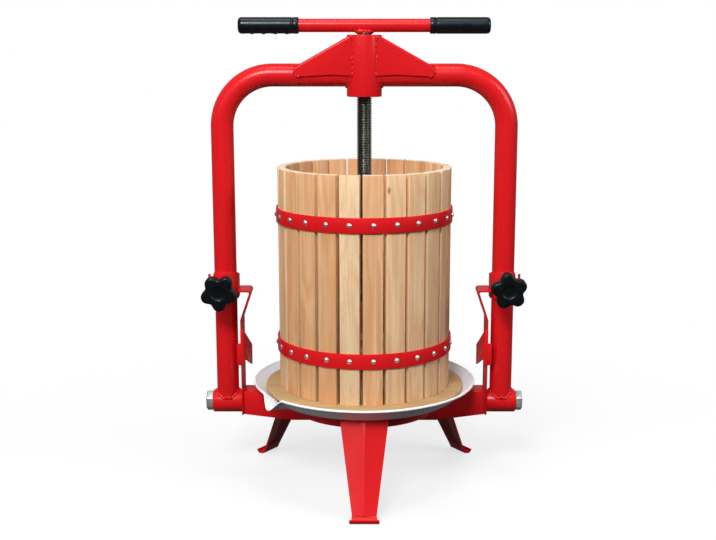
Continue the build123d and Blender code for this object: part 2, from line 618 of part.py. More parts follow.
def pair(shape):
    """A right hand piece and its left hand twin, as one group."""
    return Compound(children=[shape, mirrored(shape)])


nodes = {
    "base_pan": base_pan(),
    "base_crossbar": base_crossbar(),
    "drip_tray": drip_tray(),
    "base_board": base_board(),
    "press_boards": press_boards(),
    "press_blocks": press_blocks(),
    "band_lower": band(BAND_LEVELS[0]),
    "band_upper": band(BAND_LEVELS[1]),
    "band_rivets": band_rivets(),
    "pivot_sleeves": pair(pivot_sleeve()),
    "pivot_bolts": pair(pivot_bolt()),
    "pivot_nuts": pair(pivot_nut()),
    "screw_boss": screw_boss(),
    "arch_gussets": pair(arch_gusset()),
    "lead_nut": lead_nut(),
    "drive_screw": drive_screw(),
    "press_foot": press_foot(),
    "handle_bar": handle_bar(),
    "handle_grips": pair(handle_grip()),
    "strap_stops": pair(strap_stop()),
    "latch_bushes": pair(latch_bush()),
}

front_leg = leg()
for name, turn in (("leg_front", 0), ("leg_rear_right", LEG_TURN), ("leg_rear_left", -LEG_TURN)):
    nodes[name] = about_axis(front_leg, turn)

for index, azimuth in enumerate(stave_azimuths(), start=1):
    nodes[f"stave_{index:02d}"] = stave(azimuth)

sided = {
    "arch_tube": arch_tube, "latch_strap": latch_strap, "latch_saddle": latch_saddle,
    "knob_washer": knob_washer, "knob_stud": knob_stud}
for name, make in sided.items():
    right = make()
    nodes[f"{name}_right"] = right
    nodes[f"{name}_left"] = mirrored(right)
nodes["knob_right"] = knob(KNOB_TURN_RIGHT)
nodes["knob_left"] = mirrored(knob(KNOB_TURN_LEFT))

for name, shape in nodes.items():
    export_step(shape, f"parts/{name}.step")
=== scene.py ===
"""Looks of a standing screw fruit press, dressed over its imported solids."""

from __future__ import annotations

import json
import logging
import math
from dataclasses import dataclass
from enum import Enum
from typing import Callable, Sequence

import bpy
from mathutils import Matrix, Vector

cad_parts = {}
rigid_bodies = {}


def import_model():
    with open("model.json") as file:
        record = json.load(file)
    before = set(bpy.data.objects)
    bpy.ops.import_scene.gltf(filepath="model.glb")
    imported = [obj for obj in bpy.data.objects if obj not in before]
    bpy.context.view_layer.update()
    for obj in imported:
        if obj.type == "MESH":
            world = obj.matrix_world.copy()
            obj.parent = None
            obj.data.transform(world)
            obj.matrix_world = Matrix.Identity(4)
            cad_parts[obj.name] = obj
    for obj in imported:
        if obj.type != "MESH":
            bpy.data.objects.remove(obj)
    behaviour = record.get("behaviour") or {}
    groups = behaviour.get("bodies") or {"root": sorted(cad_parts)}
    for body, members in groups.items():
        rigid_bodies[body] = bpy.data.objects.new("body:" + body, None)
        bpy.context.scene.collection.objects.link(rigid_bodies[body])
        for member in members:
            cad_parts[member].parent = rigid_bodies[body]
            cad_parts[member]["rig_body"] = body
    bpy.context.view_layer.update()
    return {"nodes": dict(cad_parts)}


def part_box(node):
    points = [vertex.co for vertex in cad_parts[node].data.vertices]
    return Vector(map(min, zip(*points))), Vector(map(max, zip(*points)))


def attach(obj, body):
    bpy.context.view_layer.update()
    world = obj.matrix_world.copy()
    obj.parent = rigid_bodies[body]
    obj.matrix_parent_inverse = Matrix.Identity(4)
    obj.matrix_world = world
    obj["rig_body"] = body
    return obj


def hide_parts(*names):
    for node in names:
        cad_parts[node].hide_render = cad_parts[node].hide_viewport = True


LOG = logging.getLogger("fruit_press")
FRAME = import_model()

Colour = tuple[float, float, float, float]
Place = tuple[float, float, float]
Corner = tuple[float, float]
Piece = bpy.types.Object
Socket = bpy.types.NodeSocket


def screen(red: int, green: int, blue: int) -> Colour:
    """A screen colour as the linear colour that a shader takes.

    Args:
        red: Red, from 0 to 255.
        green: Green, from 0 to 255.
        blue: Blue, from 0 to 255.

    Returns:
        The linear colour, with full alpha.
    """
    parts = [channel / 255 for channel in (red, green, blue)]
    flat = [p / 12.92 if p <= 0.04045 else ((p + 0.055) / 1.055) ** 2.4 for p in parts]
    return (*flat, 1.0)


class Choice(Enum):
    """A choice that stands in the names of pieces."""

    @property
    def word(self) -> str:
        """The choice as the pieces' names spell it."""
        return self.name.lower()


class Side(Choice):
    """The two sides of the press, with the sign of X on each."""

    RIGHT = 1
    LEFT = -1


class Face(Choice):
    """The two faces of the arch, with the sign of Y on each."""

    FRONT = -1
    BACK = 1


class Slot(Enum):
    """The record's material slots."""

    RED = "red_paint"
    BEECH = "beech"
    BOARD = "board_wood"
    ENAMEL = "white_enamel"
    PLASTIC = "black_plastic"
    RUBBER = "grip_rubber"
    DARK = "dark_steel"
    ZINC = "zinc_steel"
    BRASS = "brass"


class Tree:
    """Short-hand for laying out one node tree."""

    def __init__(self, tree: bpy.types.NodeTree) -> None:
        """Keep the tree that the nodes are added to."""
        self.tree = tree

    def add(self, kind: str, inputs: dict | None = None, **settings) -> bpy.types.Node:
        """Add a node and feed it.

        Args:
            kind: The node's type, without its "ShaderNode" prefix.
            inputs: Socket name or number to a value, or to another node's output.
            settings: Properties of the node itself.

        Returns:
            The new node.
        """
        node = self.tree.nodes.new("ShaderNode" + kind)
        for name, value in settings.items():
            setattr(node, name, value)
        for name, value in (inputs or {}).items():
            if isinstance(value, Socket):
                self.tree.links.new(value, node.inputs[name])
            else:
                node.inputs[name].default_value = value
        return node

    def noise(self, vector: Socket, scale: float, detail: float) -> Socket:
        """A noise value at that many features a metre."""
        return self.add("TexNoise", {"Vector": vector, "Scale": scale, "Detail": detail}).outputs[0]

    def stretch(self, vector: Socket, by: Place) -> Socket:
        """Coordinates scaled axis by axis, so that a pattern runs long one way."""
        return self.add("VectorMath", {0: vector, 1: by}, operation="MULTIPLY").outputs[0]

    def span(self, value: Socket, low: float, high: float, start: float = 0.0, end: float = 1.0) -> Socket:
        """The part of a value from low to high, spread from start to end."""
        ends = {"Value": value, "From Min": low, "From Max": high, "To Min": start, "To Max": end}
        return self.add("MapRange", ends).outputs[0]

    def count(self, operation: str, first: Socket | float, second: Socket | float = 0.0) -> Socket:
        """One step of arithmetic."""
        return self.add("Math", {0: first, 1: second}, operation=operation).outputs[0]

    def blend(self, share: Socket | float, first: Socket | Colour, second: Socket | Colour,
              how: str = "MIX") -> Socket:
        """Two colours mixed by a share."""
        parts = {0: share, 6: first, 7: second}
        return self.add("Mix", parts, data_type="RGBA", blend_type=how).outputs[2]

    def grey(self, value: Socket) -> Socket:
        """A value as a grey colour."""
        return self.add("CombineColor", {0: value, 1: value, 2: value}).outputs[0]


class Skins:
    """Node groups shared by the finishes, each made on first use."""

    PLAIN = {"Vector": "Vector", "Color": "Color", "Gloss": "Float"}
    GRAINED = {"Vector": "Vector", "Normal": "Vector", "Pale": "Color", "Warm": "Color", "Tone": "Float",
               "Figure": "Float"}
    OUTPUTS = {"Color": "Color", "Roughness": "Float", "Height": "Float"}
    FLECK = screen(158, 110, 72)
    KNOT = screen(124, 76, 46)
    # Pale cream that the end faces are painted toward: a painted highlight on them.
    END_GRAIN = screen(247, 228, 203)

    @classmethod
    def start(cls, name: str, inputs: dict[str, str]) -> tuple[Tree, bpy.types.Node, bpy.types.Node]:
        """Open a new group with the outputs that every skin has.

        Args:
            name: The group's name.
            inputs: The label and kind of each input.

        Returns:
            The group's tree, its input node and its output node.
        """
        group = bpy.data.node_groups.new(name, "ShaderNodeTree")
        for label, kind in inputs.items():
            group.interface.new_socket(label, in_out="INPUT", socket_type="NodeSocket" + kind)
        for label, kind in cls.OUTPUTS.items():
            group.interface.new_socket(label, in_out="OUTPUT", socket_type="NodeSocket" + kind)
        return Tree(group), group.nodes.new("NodeGroupInput"), group.nodes.new("NodeGroupOutput")

    @staticmethod
    def end(tree: Tree, out: bpy.types.Node, colour: Socket, roughness: Socket,
            height: Socket) -> bpy.types.NodeTree:
        """Join a group's three results to its output.

        Args:
            tree: The group's tree.
            out: Its output node.
            colour: The surface's colour.
            roughness: Its roughness.
            height: The height of its fine relief.

        Returns:
            The finished group.
        """
        for label, socket in (("Color", colour), ("Roughness", roughness), ("Height", height)):
            tree.tree.links.new(socket, out.inputs[label])
        return tree.tree

    @classmethod
    def paint(cls) -> bpy.types.NodeTree:
        """Sprayed paint: a faint cloudiness and the fine peel of a sprayed coat.

        Returns:
            The group.
        """
        found = bpy.data.node_groups.get("paint_skin")
        if found:
            return found
        tree, given, out = cls.start("paint_skin", cls.PLAIN)
        where = given.outputs["Vector"]
        cloud = tree.span(tree.noise(where, 9.0, 2.0), 0.3, 0.7, 0.95, 1.04)
        peel = tree.noise(where, 330.0, 1.0)
        dust = tree.span(tree.noise(where, 1500.0, 1.0), 0.66, 0.74, 0.0, 0.08)
        smear = tree.span(tree.noise(where, 38.0, 4.0), 0.3, 0.75, 0.0, 0.05)
        rough = tree.count("ADD", given.outputs["Gloss"], tree.count("ADD", dust, smear))
        colour = tree.blend(1.0, given.outputs["Color"], tree.grey(cloud), "MULTIPLY")
        return cls.end(tree, out, colour, rough, peel)

    @classmethod
    def wood(cls) -> bpy.types.NodeTree:
        """Planed timber: growth bands, heartwood, fibres, flecks, small knots and end rings, with side and
        end faces painted paler as painted light.

        Returns:
            The group.
        """
        found = bpy.data.node_groups.get("wood_grain")
        if found:
            return found
        tree, given, out = cls.start("wood_grain", cls.GRAINED)
        where = given.outputs["Vector"]
        bend = tree.noise(tree.stretch(where, (1, 1, 0.11)), 24.0, 2.0)
        bands = tree.span(tree.count("PINGPONG", tree.count("MULTIPLY", bend, 17.0), 1.0), 0.2, 0.95)
        streaks = tree.span(tree.noise(tree.stretch(where, (1, 1, 0.018)), 270.0, 3.0), 0.33, 0.68)
        fibres = tree.span(tree.noise(tree.stretch(where, (1, 1, 0.025)), 1050.0, 3.0), 0.3, 0.7)
        flecks = tree.span(tree.noise(tree.stretch(where, (1, 1, 0.17)), 720.0, 1.0), 0.63, 0.7)
        cloud = tree.noise(tree.stretch(where, (1, 1, 0.3)), 16.0, 3.0)
        share = tree.count("ADD", tree.count("MULTIPLY", bands, 0.42), tree.count("MULTIPLY", streaks, 0.4))
        share = tree.count("ADD", share, tree.count("SUBTRACT", given.outputs["Tone"], 0.3))
        colour = tree.blend(share, given.outputs["Pale"], given.outputs["Warm"])
        colour = tree.blend(1.0, colour, tree.grey(tree.span(fibres, 0.0, 1.0, 0.9, 1.07)), "MULTIPLY")
        colour = tree.blend(1.0, colour, tree.grey(tree.span(cloud, 0.3, 0.72, 1.06, 0.9)), "MULTIPLY")
        colour = tree.blend(tree.count("MULTIPLY", flecks, 0.2), colour, cls.FLECK)
        figure = given.outputs["Figure"]
        heart = tree.span(tree.noise(tree.stretch(where, (1, 1, 0.012)), 46.0, 1.0), 0.52, 0.57, 0.0, 0.6)
        heart = tree.count("MULTIPLY", heart, tree.count("MULTIPLY", figure, given.outputs["Tone"]))
        colour = tree.blend(heart, colour, given.outputs["Warm"])
        cells = {"Vector": tree.stretch(where, (1, 1, 0.5)), "Scale": 18.0}
        spots = tree.add("TexVoronoi", cells).outputs["Distance"]
        knots = tree.count("MULTIPLY", tree.span(spots, 0.065, 0.03, 0.0, 0.75), figure)
        colour = tree.blend(knots, colour, cls.KNOT)
        facing = tree.add("SeparateXYZ", {0: given.outputs["Normal"]})
        # Painted light: a stave's side faces are blended toward the pale colour, as if lit.
        lit_sides = tree.span(tree.count("ABSOLUTE", facing.outputs[0]), 0.8, 0.97, 0.0, 0.7)
        colour = tree.blend(tree.count("MULTIPLY", lit_sides, figure), colour, given.outputs["Pale"])
        ends = tree.span(tree.count("ABSOLUTE", facing.outputs[2]), 0.75, 0.95)
        rings = tree.span(tree.noise(tree.stretch(where, (0.35, 1, 1)), 620.0, 2.0), 0.3, 0.7, 0.86, 1.0)
        # Painted highlight: end faces are blended toward pale cream. They keep their real growth rings.
        lit_end = tree.blend(tree.count("MULTIPLY", figure, 0.8), colour, cls.END_GRAIN)
        colour = tree.blend(ends, colour, tree.blend(1.0, lit_end, tree.grey(rings), "MULTIPLY"))
        rough = tree.span(fibres, 0.0, 1.0, 0.5, 0.66)
        height = tree.count("ADD", tree.count("MULTIPLY", fibres, 0.6), tree.count("MULTIPLY", bands, 0.4))
        return cls.end(tree, out, colour, rough, height)

    @classmethod
    def metal(cls) -> bpy.types.NodeTree:
        """Worked metal: a cloudy sheen and fine scuffs.

        Returns:
            The group.
        """
        found = bpy.data.node_groups.get("worn_metal")
        if found:
            return found
        tree, given, out = cls.start("worn_metal", cls.PLAIN)
        where = given.outputs["Vector"]
        cloud = tree.noise(where, 55.0, 4.0)
        scuffs = tree.noise(where, 900.0, 3.0)
        sheen = tree.span(cloud, 0.3, 0.7, 0.78, 1.1)
        tone = tree.count("MULTIPLY", sheen, tree.span(scuffs, 0.3, 0.7, 0.86, 1.06))
        colour = tree.blend(1.0, given.outputs["Color"], tree.grey(tone), "MULTIPLY")
        rough = tree.count("ADD", given.outputs["Gloss"], tree.span(scuffs, 0.35, 0.7, 0.0, 0.16))
        return cls.end(tree, out, colour, rough, scuffs)

    @classmethod
    def moulded(cls) -> bpy.types.NodeTree:
        """Moulded plastic or rubber: a fine pebble and handled, duller patches.

        Returns:
            The group.
        """
        found = bpy.data.node_groups.get("moulded_skin")
        if found:
            return found
        tree, given, out = cls.start("moulded_skin", cls.PLAIN)
        where = given.outputs["Vector"]
        pebble = tree.noise(where, 1400.0, 2.0)
        handled = tree.span(tree.noise(where, 48.0, 3.0), 0.3, 0.7, 0.0, 0.12)
        pebbled = tree.grey(tree.span(pebble, 0.3, 0.7, 0.8, 1.25))
        colour = tree.blend(1.0, given.outputs["Color"], pebbled, "MULTIPLY")
        rough = tree.count("ADD", given.outputs["Gloss"], handled)
        return cls.end(tree, out, colour, rough, pebble)


@dataclass(frozen=True)
class Finish:
    """How one surface looks.

    Attributes:
        name: The material's name.
        slot: The record's slot that it belongs to; not used.
        colour: The surface's own colour.
        gloss: Its least roughness.
        relief: The depth of its fine relief, in metres.
        metallic: 1 for bare metal.
        shine: The strength of its plain reflection, 0.5 for most things.
    """

    name: str
    slot: Slot
    colour: Colour = (0.5, 0.5, 0.5, 1.0)
    gloss: float = 0.3
    relief: float = 0.00003
    metallic: float = 0.0
    shine: float = 0.5

    def material(self) -> bpy.types.Material:
        """The finish's material, made on first use."""
        return bpy.data.materials.get(self.name) or self.make()

    def make(self) -> bpy.types.Material:
        """Lay out the shader: object coordinates, the skin group, a bump and one surface.

        Returns:
            The new material.
        """
        material = bpy.data.materials.new(self.name)
        material.use_nodes = True
        tree = Tree(material.node_tree)
        surface = material.node_tree.nodes["Principled BSDF"]
        skin = self.skin(tree)
        bump = tree.add("Bump", {"Strength": 1.0, "Distance": self.relief, "Height": skin.outputs["Height"]})
        tree.tree.links.new(skin.outputs["Color"], surface.inputs["Base Color"])
        tree.tree.links.new(skin.outputs["Roughness"], surface.inputs["Roughness"])
        tree.tree.links.new(bump.outputs["Normal"], surface.inputs["Normal"])
        surface.inputs["Metallic"].default_value = self.metallic
        surface.inputs["Specular IOR Level"].default_value = self.shine
        return material

    def skin(self, tree: Tree) -> bpy.types.Node:
        """Place the skin group in a material.

        Args:
            tree: The material's tree.

        Returns:
            The node that feeds the surface its colour, roughness and relief.
        """
        where = tree.add("TexCoord").outputs["Object"]
        node = tree.add("Group", node_tree=self.group())
        tree.tree.links.new(where, node.inputs["Vector"])
        node.inputs["Color"].default_value = self.colour
        node.inputs["Gloss"].default_value = self.gloss
        return node

    def group(self) -> bpy.types.NodeTree:
        """The skin group that this finish uses."""
        return Skins.paint()


@dataclass(frozen=True)
class Metal(Finish):
    """Bare metal."""

    metallic: float = 1.0

    def group(self) -> bpy.types.NodeTree:
        """The skin group that this finish uses."""
        return Skins.metal()


@dataclass(frozen=True)
class Moulded(Finish):
    """Plastic or rubber out of a mould."""

    def group(self) -> bpy.types.NodeTree:
        """The skin group that this finish uses."""
        return Skins.moulded()


@dataclass(frozen=True)
class Timber(Finish):
    """Planed wood.

    Attributes:
        pale: Colour of the light wood.
        warm: Colour of the dark bands.
        tone: How far the piece leans to the dark colour, from 0 to about 1.
        turn: Turn about the upright axis that brings the piece's face to the front, in degrees.
        lay: Turn of the grain about the front axis, in degrees; 90 lays it flat.
        shift: Step of the pattern, so that two pieces differ.
        figure: How plain to see its heartwood and knots are, and how strongly its side and end faces are
            painted paler as painted light, from 0 to 1.
    """

    STRIDE = (1.7, 0.9, 2.3)  # how far a shift of 1 moves the pattern

    pale: Colour = screen(233, 201, 160)
    warm: Colour = screen(214, 157, 108)
    tone: float = 0.5
    turn: float = 0.0
    lay: float = 0.0
    shift: float = 0.0
    figure: float = 0.0

    def group(self) -> bpy.types.NodeTree:
        """The skin group that this finish uses."""
        return Skins.wood()

    def skin(self, tree: Tree) -> bpy.types.Node:
        """Place the wood group in a material, with its grain along the piece.

        Args:
            tree: The material's tree.

        Returns:
            The node that feeds the surface its colour, roughness and relief.
        """
        given = tree.add("TexCoord")
        turned = tree.add("Mapping", {"Vector": given.outputs["Object"]})
        turned.inputs["Rotation"].default_value = (0, math.radians(self.lay), -math.radians(self.turn))
        turned.inputs["Location"].default_value = [step * self.shift for step in self.STRIDE]
        node = tree.add("Group", node_tree=self.group())
        tree.tree.links.new(turned.outputs["Vector"], node.inputs["Vector"])
        # The normal, turned with the piece, tells the wood group which faces are sides and ends, which it
        # paints paler as painted light.
        facing = tree.add("Mapping", {"Vector": given.outputs["Normal"]}, vector_type="VECTOR")
        facing.inputs["Rotation"].default_value = (0, 0, -math.radians(self.turn))
        tree.tree.links.new(facing.outputs["Vector"], node.inputs["Normal"])
        node.inputs["Pale"].default_value = self.pale
        node.inputs["Warm"].default_value = self.warm
        node.inputs["Tone"].default_value = self.tone
        node.inputs["Figure"].default_value = self.figure
        return node


RED = Finish("red_gloss", Slot.RED, screen(212, 24, 29), gloss=0.25, relief=0.00002, shine=0.3)
ENAMEL = Finish("tray_enamel", Slot.ENAMEL, screen(238, 242, 248), gloss=0.3, relief=0.00002, shine=0.3)
PLASTIC = Moulded("knob_plastic", Slot.PLASTIC, screen(8, 13, 15), gloss=0.27, relief=0.00001, shine=0.22)
# The grip's blue-green tint is painted reflection. The rubber itself is black.
RUBBER = Moulded("grip_black", Slot.RUBBER, screen(5, 18, 24), gloss=0.22, relief=0.00002, shine=0.3)
DARK = Metal("oiled_steel", Slot.DARK, screen(128, 132, 126), gloss=0.2, relief=0.000004)
ZINC = Metal("zinc_plate", Slot.ZINC, screen(240, 245, 240), gloss=0.4, relief=0.00001)
RIVET = Metal("rivet_zinc", Slot.ZINC, screen(238, 230, 226), gloss=0.34, relief=0.00001)
BRASS = Metal("machined_brass", Slot.BRASS, screen(201, 164, 92), gloss=0.24, relief=0.00002)
BOARD = Timber("board_face", Slot.BOARD, relief=0.00005, pale=screen(198, 166, 117),
               warm=screen(178, 140, 91), tone=0.35, lay=90.0, shift=3.1)
BEECH = Timber("press_beech", Slot.BEECH, relief=0.00006, tone=0.5, lay=90.0, shift=5.3)


@dataclass(frozen=True)
class Rounding:
    """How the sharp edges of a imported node's copy are rounded.

    Attributes:
        width: Width of the rounding, in metres; 0 leaves every edge sharp.
        segments: Steps across the rounding.
        angle: Least angle between the two faces of an edge that is rounded, in degrees.
        length: Edges shorter than this stay sharp.
        floor: Edges that reach below this height stay sharp.
        merge: Faces that turn less than this from each other become one first, in degrees.
    """

    width: float
    segments: int = 2
    angle: float = 38.0
    length: float = 0.0
    floor: float = -1.0
    merge: float = 0.5


SHARP = Rounding(0.0)


class Bench:
    """The hand tools that every piece is made with."""

    SAME = 0.000001  # points nearer than this are one
    SPECK = 0.001  # size of the plane that is merged into a line's first point
    RIM = 0.04  # chains of sharp edges shorter than this are the rims of small holes
    THREAD_STEPS = 28  # points round one turn of a thread
    THREAD_POINTS = 10  # steps across one ridge of a thread
    THREAD_CROWN = 0.7  # below 1, a thread's crests are fuller than its grooves
    THREAD_SPARE = 2  # turns of a thread that are cut off at its ends
    THREAD_SHADE = 60.0  # edges of a thread flatter than this are shaded smooth, in degrees
    WELD_WAVES = ((0.17, 0.9), (0.11, 2.3))  # height and pace of the swellings along a weld
    WELD_GRAIN = 0.32  # size of a weld's finest lumps, as a share of its radius
    WELD_SHADE = 80.0  # edges of a weld flatter than this are shaded smooth, in degrees

    @staticmethod
    def clear() -> None:
        """Leave edit mode and deselect everything."""
        active = bpy.context.object
        if active is not None and active.mode != "OBJECT":
            bpy.ops.object.mode_set(mode="OBJECT")
        bpy.ops.object.select_all(action="DESELECT")

    @classmethod
    def take(cls, piece: Piece) -> None:
        """Make a piece the only selected one.

        Args:
            piece: The piece.
        """
        cls.clear()
        piece.select_set(True)
        bpy.context.view_layer.objects.active = piece

    @classmethod
    def settle(cls, piece: Piece) -> None:
        """Put a piece's place, turn and scale into its mesh."""
        cls.take(piece)
        bpy.ops.object.transform_apply(location=True, rotation=True, scale=True)

    @classmethod
    def modify(cls, piece: Piece, kind: str, **settings) -> None:
        """Add a modifier to a piece and apply it.

        Args:
            piece: The piece.
            kind: The modifier's type.
            settings: Properties of the modifier.
        """
        cls.take(piece)
        modifier = piece.modifiers.new(kind.lower(), kind)
        for name, value in settings.items():
            setattr(modifier, name, value)
        bpy.ops.object.modifier_apply(modifier=modifier.name)

    @classmethod
    def smooth(cls, piece: Piece, degrees: float = 32.0) -> None:
        """Shade a piece smooth, except over edges sharper than the angle."""
        cls.take(piece)
        bpy.ops.object.shade_smooth_by_angle(angle=math.radians(degrees))

    @classmethod
    def close(cls, piece: Piece) -> None:
        """Merge a mesh's meeting points and turn its faces outward.

        Args:
            piece: The piece.
        """
        cls.take(piece)
        bpy.ops.object.mode_set(mode="EDIT")
        bpy.ops.mesh.select_all(action="SELECT")
        bpy.ops.mesh.remove_doubles(threshold=cls.SAME)
        bpy.ops.mesh.normals_make_consistent(inside=False)
        bpy.ops.object.mode_set(mode="OBJECT")

    @classmethod
    def pick(cls, piece: Piece, wanted: Callable[[bpy.types.MeshPolygon], bool]) -> None:
        """Open a piece in edit mode with just the wanted faces selected.

        Args:
            piece: The piece.
            wanted: Whether a face is to be selected.
        """
        cls.take(piece)
        bpy.ops.object.mode_set(mode="EDIT")
        bpy.ops.mesh.select_mode(type="FACE")
        bpy.ops.mesh.select_all(action="DESELECT")
        bpy.ops.object.mode_set(mode="OBJECT")
        for face in piece.data.polygons:
            face.select = wanted(face)
        bpy.ops.object.mode_set(mode="EDIT")

    @classmethod
    def join(cls, pieces: Sequence[Piece], name: str) -> Piece:
        """Make several pieces one.

        Args:
            pieces: The pieces, each in place.
            name: The name of the joined piece.

        Returns:
            The joined piece, at the origin.
        """
        cls.clear()
        for piece in pieces:
            piece.select_set(True)
        bpy.context.view_layer.objects.active = pieces[0]
        bpy.ops.object.join()
        pieces[0].name = name
        cls.settle(pieces[0])
        return pieces[0]

    @classmethod
    def line(cls, name: str, points: Sequence[Corner]) -> Piece:
        """Draw a chain of edges in the XZ plane by extruding one point along it.

        Args:
            name: The piece's name.
            points: Radius and height of each corner, in metres.

        Returns:
            The chain, as a piece without faces.
        """
        spots = [Vector((radius, 0, height)) for radius, height in points]
        cls.clear()
        bpy.ops.mesh.primitive_plane_add(size=cls.SPECK, location=spots[0])
        piece = bpy.context.object
        piece.name = name
        cls.settle(piece)
        bpy.ops.object.mode_set(mode="EDIT")
        bpy.ops.mesh.select_mode(type="VERT")
        bpy.ops.mesh.select_all(action="SELECT")
        bpy.ops.mesh.merge(type="CENTER")
        for here, there in zip(spots, spots[1:]):
            bpy.ops.mesh.extrude_region_move(TRANSFORM_OT_translate={"value": there - here})
        bpy.ops.object.mode_set(mode="OBJECT")
        return piece

    @classmethod
    def lathe(cls, name: str, points: Sequence[Corner], steps: int) -> Piece:
        """Turn a chain of edges about the upright axis.

        Args:
            name: The piece's name.
            points: Radius and height of each corner, in metres.
            steps: Points round the axis.

        Returns:
            The closed piece, standing on the upright axis.
        """
        piece = cls.line(name, points)
        cls.modify(piece, "SCREW", steps=steps, render_steps=steps, use_merge_vertices=True,
                   merge_threshold=cls.SAME)
        cls.close(piece)
        return piece

    @classmethod
    def thread(cls, name: str, crest: float, root: float, pitch: float, low: float, high: float) -> Piece:
        """Make a right-handed threaded rod between two heights, cut flat at both ends.

        Args:
            name: The piece's name.
            crest: Radius over the thread.
            root: Radius at the bottom of the thread.
            pitch: Rise in one turn.
            low: Height of the lower end.
            high: Height of the upper end.

        Returns:
            The rod, standing on the upright axis.
        """
        ridge = []
        for k in range(cls.THREAD_POINTS + 1):
            wave = (0.5 - 0.5 * math.cos(math.tau * k / cls.THREAD_POINTS)) ** cls.THREAD_CROWN
            ridge.append((root + wave * (crest - root), low - pitch + k * pitch / cls.THREAD_POINTS))
        piece = cls.line(name, ridge)
        turns = math.ceil((high - low) / pitch) + cls.THREAD_SPARE
        cls.modify(piece, "SCREW", steps=cls.THREAD_STEPS, render_steps=cls.THREAD_STEPS, screw_offset=pitch,
                   iterations=turns, use_merge_vertices=True, merge_threshold=cls.SAME)
        cls.close(piece)
        for height, way in ((low, -1), (high, 1)):
            cls.take(piece)
            bpy.ops.object.mode_set(mode="EDIT")
            bpy.ops.mesh.select_all(action="SELECT")
            bpy.ops.mesh.bisect(plane_co=(0, 0, height), plane_no=(0, 0, way), use_fill=True,
                                clear_outer=True)
            bpy.ops.object.mode_set(mode="OBJECT")
        cls.close(piece)
        cls.smooth(piece, cls.THREAD_SHADE)
        return piece

    @classmethod
    def weld(cls, name: str, path: Sequence[Vector], radius: float) -> Piece:
        """Make a weld bead: drops laid along a path and melted together.

        Args:
            name: The piece's name.
            path: The middle of each drop.
            radius: Mean radius of a drop.

        Returns:
            The bead, in place.
        """
        drops = []
        for index, spot in enumerate(path):
            cls.clear()
            swell = 1.0
            for height, pace in cls.WELD_WAVES:
                swell += height * math.sin(pace * index)
            bpy.ops.mesh.primitive_ico_sphere_add(subdivisions=2, radius=radius * swell, location=spot)
            drops.append(bpy.context.object)
        piece = cls.join(drops, name)
        cls.modify(piece, "REMESH", mode="VOXEL", voxel_size=radius * cls.WELD_GRAIN)
        cls.modify(piece, "SMOOTH", factor=0.5, iterations=2)
        cls.smooth(piece, cls.WELD_SHADE)
        return piece

    @classmethod
    def chains(cls, piece: Piece, angle: float) -> list[list[int]]:
        """Find the sharp edges of a piece, grouped where they meet.

        Args:
            piece: The piece.
            angle: Least angle between an edge's two faces, in degrees.

        Returns:
            The numbers of the edges in each group.
        """
        cls.take(piece)
        bpy.ops.object.mode_set(mode="EDIT")
        bpy.ops.mesh.select_mode(type="EDGE")
        bpy.ops.mesh.select_all(action="DESELECT")
        bpy.ops.mesh.edges_select_sharp(sharpness=math.radians(angle))
        bpy.ops.object.mode_set(mode="OBJECT")
        ends = {edge.index: tuple(edge.vertices) for edge in piece.data.edges if edge.select}
        meeting: dict[int, set[int]] = {}
        for edge, points in ends.items():
            for point in points:
                meeting.setdefault(point, set()).add(edge)
        groups = []
        left = set(ends)
        while left:
            group = []
            queue = [left.pop()]
            while queue:
                edge = queue.pop()
                group.append(edge)
                near = left & set.union(*(meeting[point] for point in ends[edge]))
                left -= near
                queue.extend(near)
            groups.append(group)
        return groups

    @classmethod
    def mark(cls, piece: Piece, rounding: Rounding) -> None:
        """Give the edges to be rounded a bevel weight. The rims of small holes get none.

        Args:
            piece: The piece.
            rounding: Which edges are rounded.
        """
        groups = cls.chains(piece, rounding.angle)
        mesh = piece.data
        weights = mesh.attributes.new("bevel_weight_edge", "FLOAT", "EDGE")
        for group in groups:
            ends = [[mesh.vertices[point].co for point in mesh.edges[edge].vertices] for edge in group]
            lengths = [(start - end).length for start, end in ends]
            if sum(lengths) < cls.RIM:
                continue
            for edge, points, length in zip(group, ends, lengths):
                if length >= rounding.length and min(point.z for point in points) >= rounding.floor:
                    weights.data[edge].value = 1.0

    @classmethod
    def soften(cls, node: str, rounding: Rounding) -> Piece:
        """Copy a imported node, with its loose triangles merged and its sharp edges rounded.

        Args:
            node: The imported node.
            rounding: How its edges are rounded.

        Returns:
            The copy.
        """
        piece = bpy.data.objects.new(node + "_skin", FRAME["nodes"][node].data.copy())
        bpy.context.scene.collection.objects.link(piece)
        cls.take(piece)
        bpy.ops.mesh.customdata_custom_splitnormals_clear()
        bpy.ops.object.mode_set(mode="EDIT")
        bpy.ops.mesh.select_all(action="SELECT")
        bpy.ops.mesh.remove_doubles(threshold=cls.SAME)
        bpy.ops.mesh.dissolve_limited(angle_limit=math.radians(rounding.merge))
        bpy.ops.mesh.normals_make_consistent(inside=False)
        bpy.ops.object.mode_set(mode="OBJECT")
        if rounding.width:
            cls.mark(piece, rounding)
            cls.modify(piece, "BEVEL", width=rounding.width, segments=rounding.segments,
                       limit_method="WEIGHT", use_clamp_overlap=False, miter_outer="MITER_ARC")
            cls.close(piece)
        cls.smooth(piece)
        return piece


def fit(piece: Piece, finish: Finish, body: str, *nodes: str) -> None:
    """Give a finished piece its surface and its place in the frame.

    Args:
        piece: The piece, in place.
        finish: Its surface.
        body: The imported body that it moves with.
        nodes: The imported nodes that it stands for.
    """
    piece.data.materials.clear()
    piece.data.materials.append(finish.material())
    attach(piece, body)
    if nodes:
        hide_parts(*nodes)
    LOG.info("%s: %d faces, %s, on %s", piece.name, len(piece.data.polygons), finish.name, body)


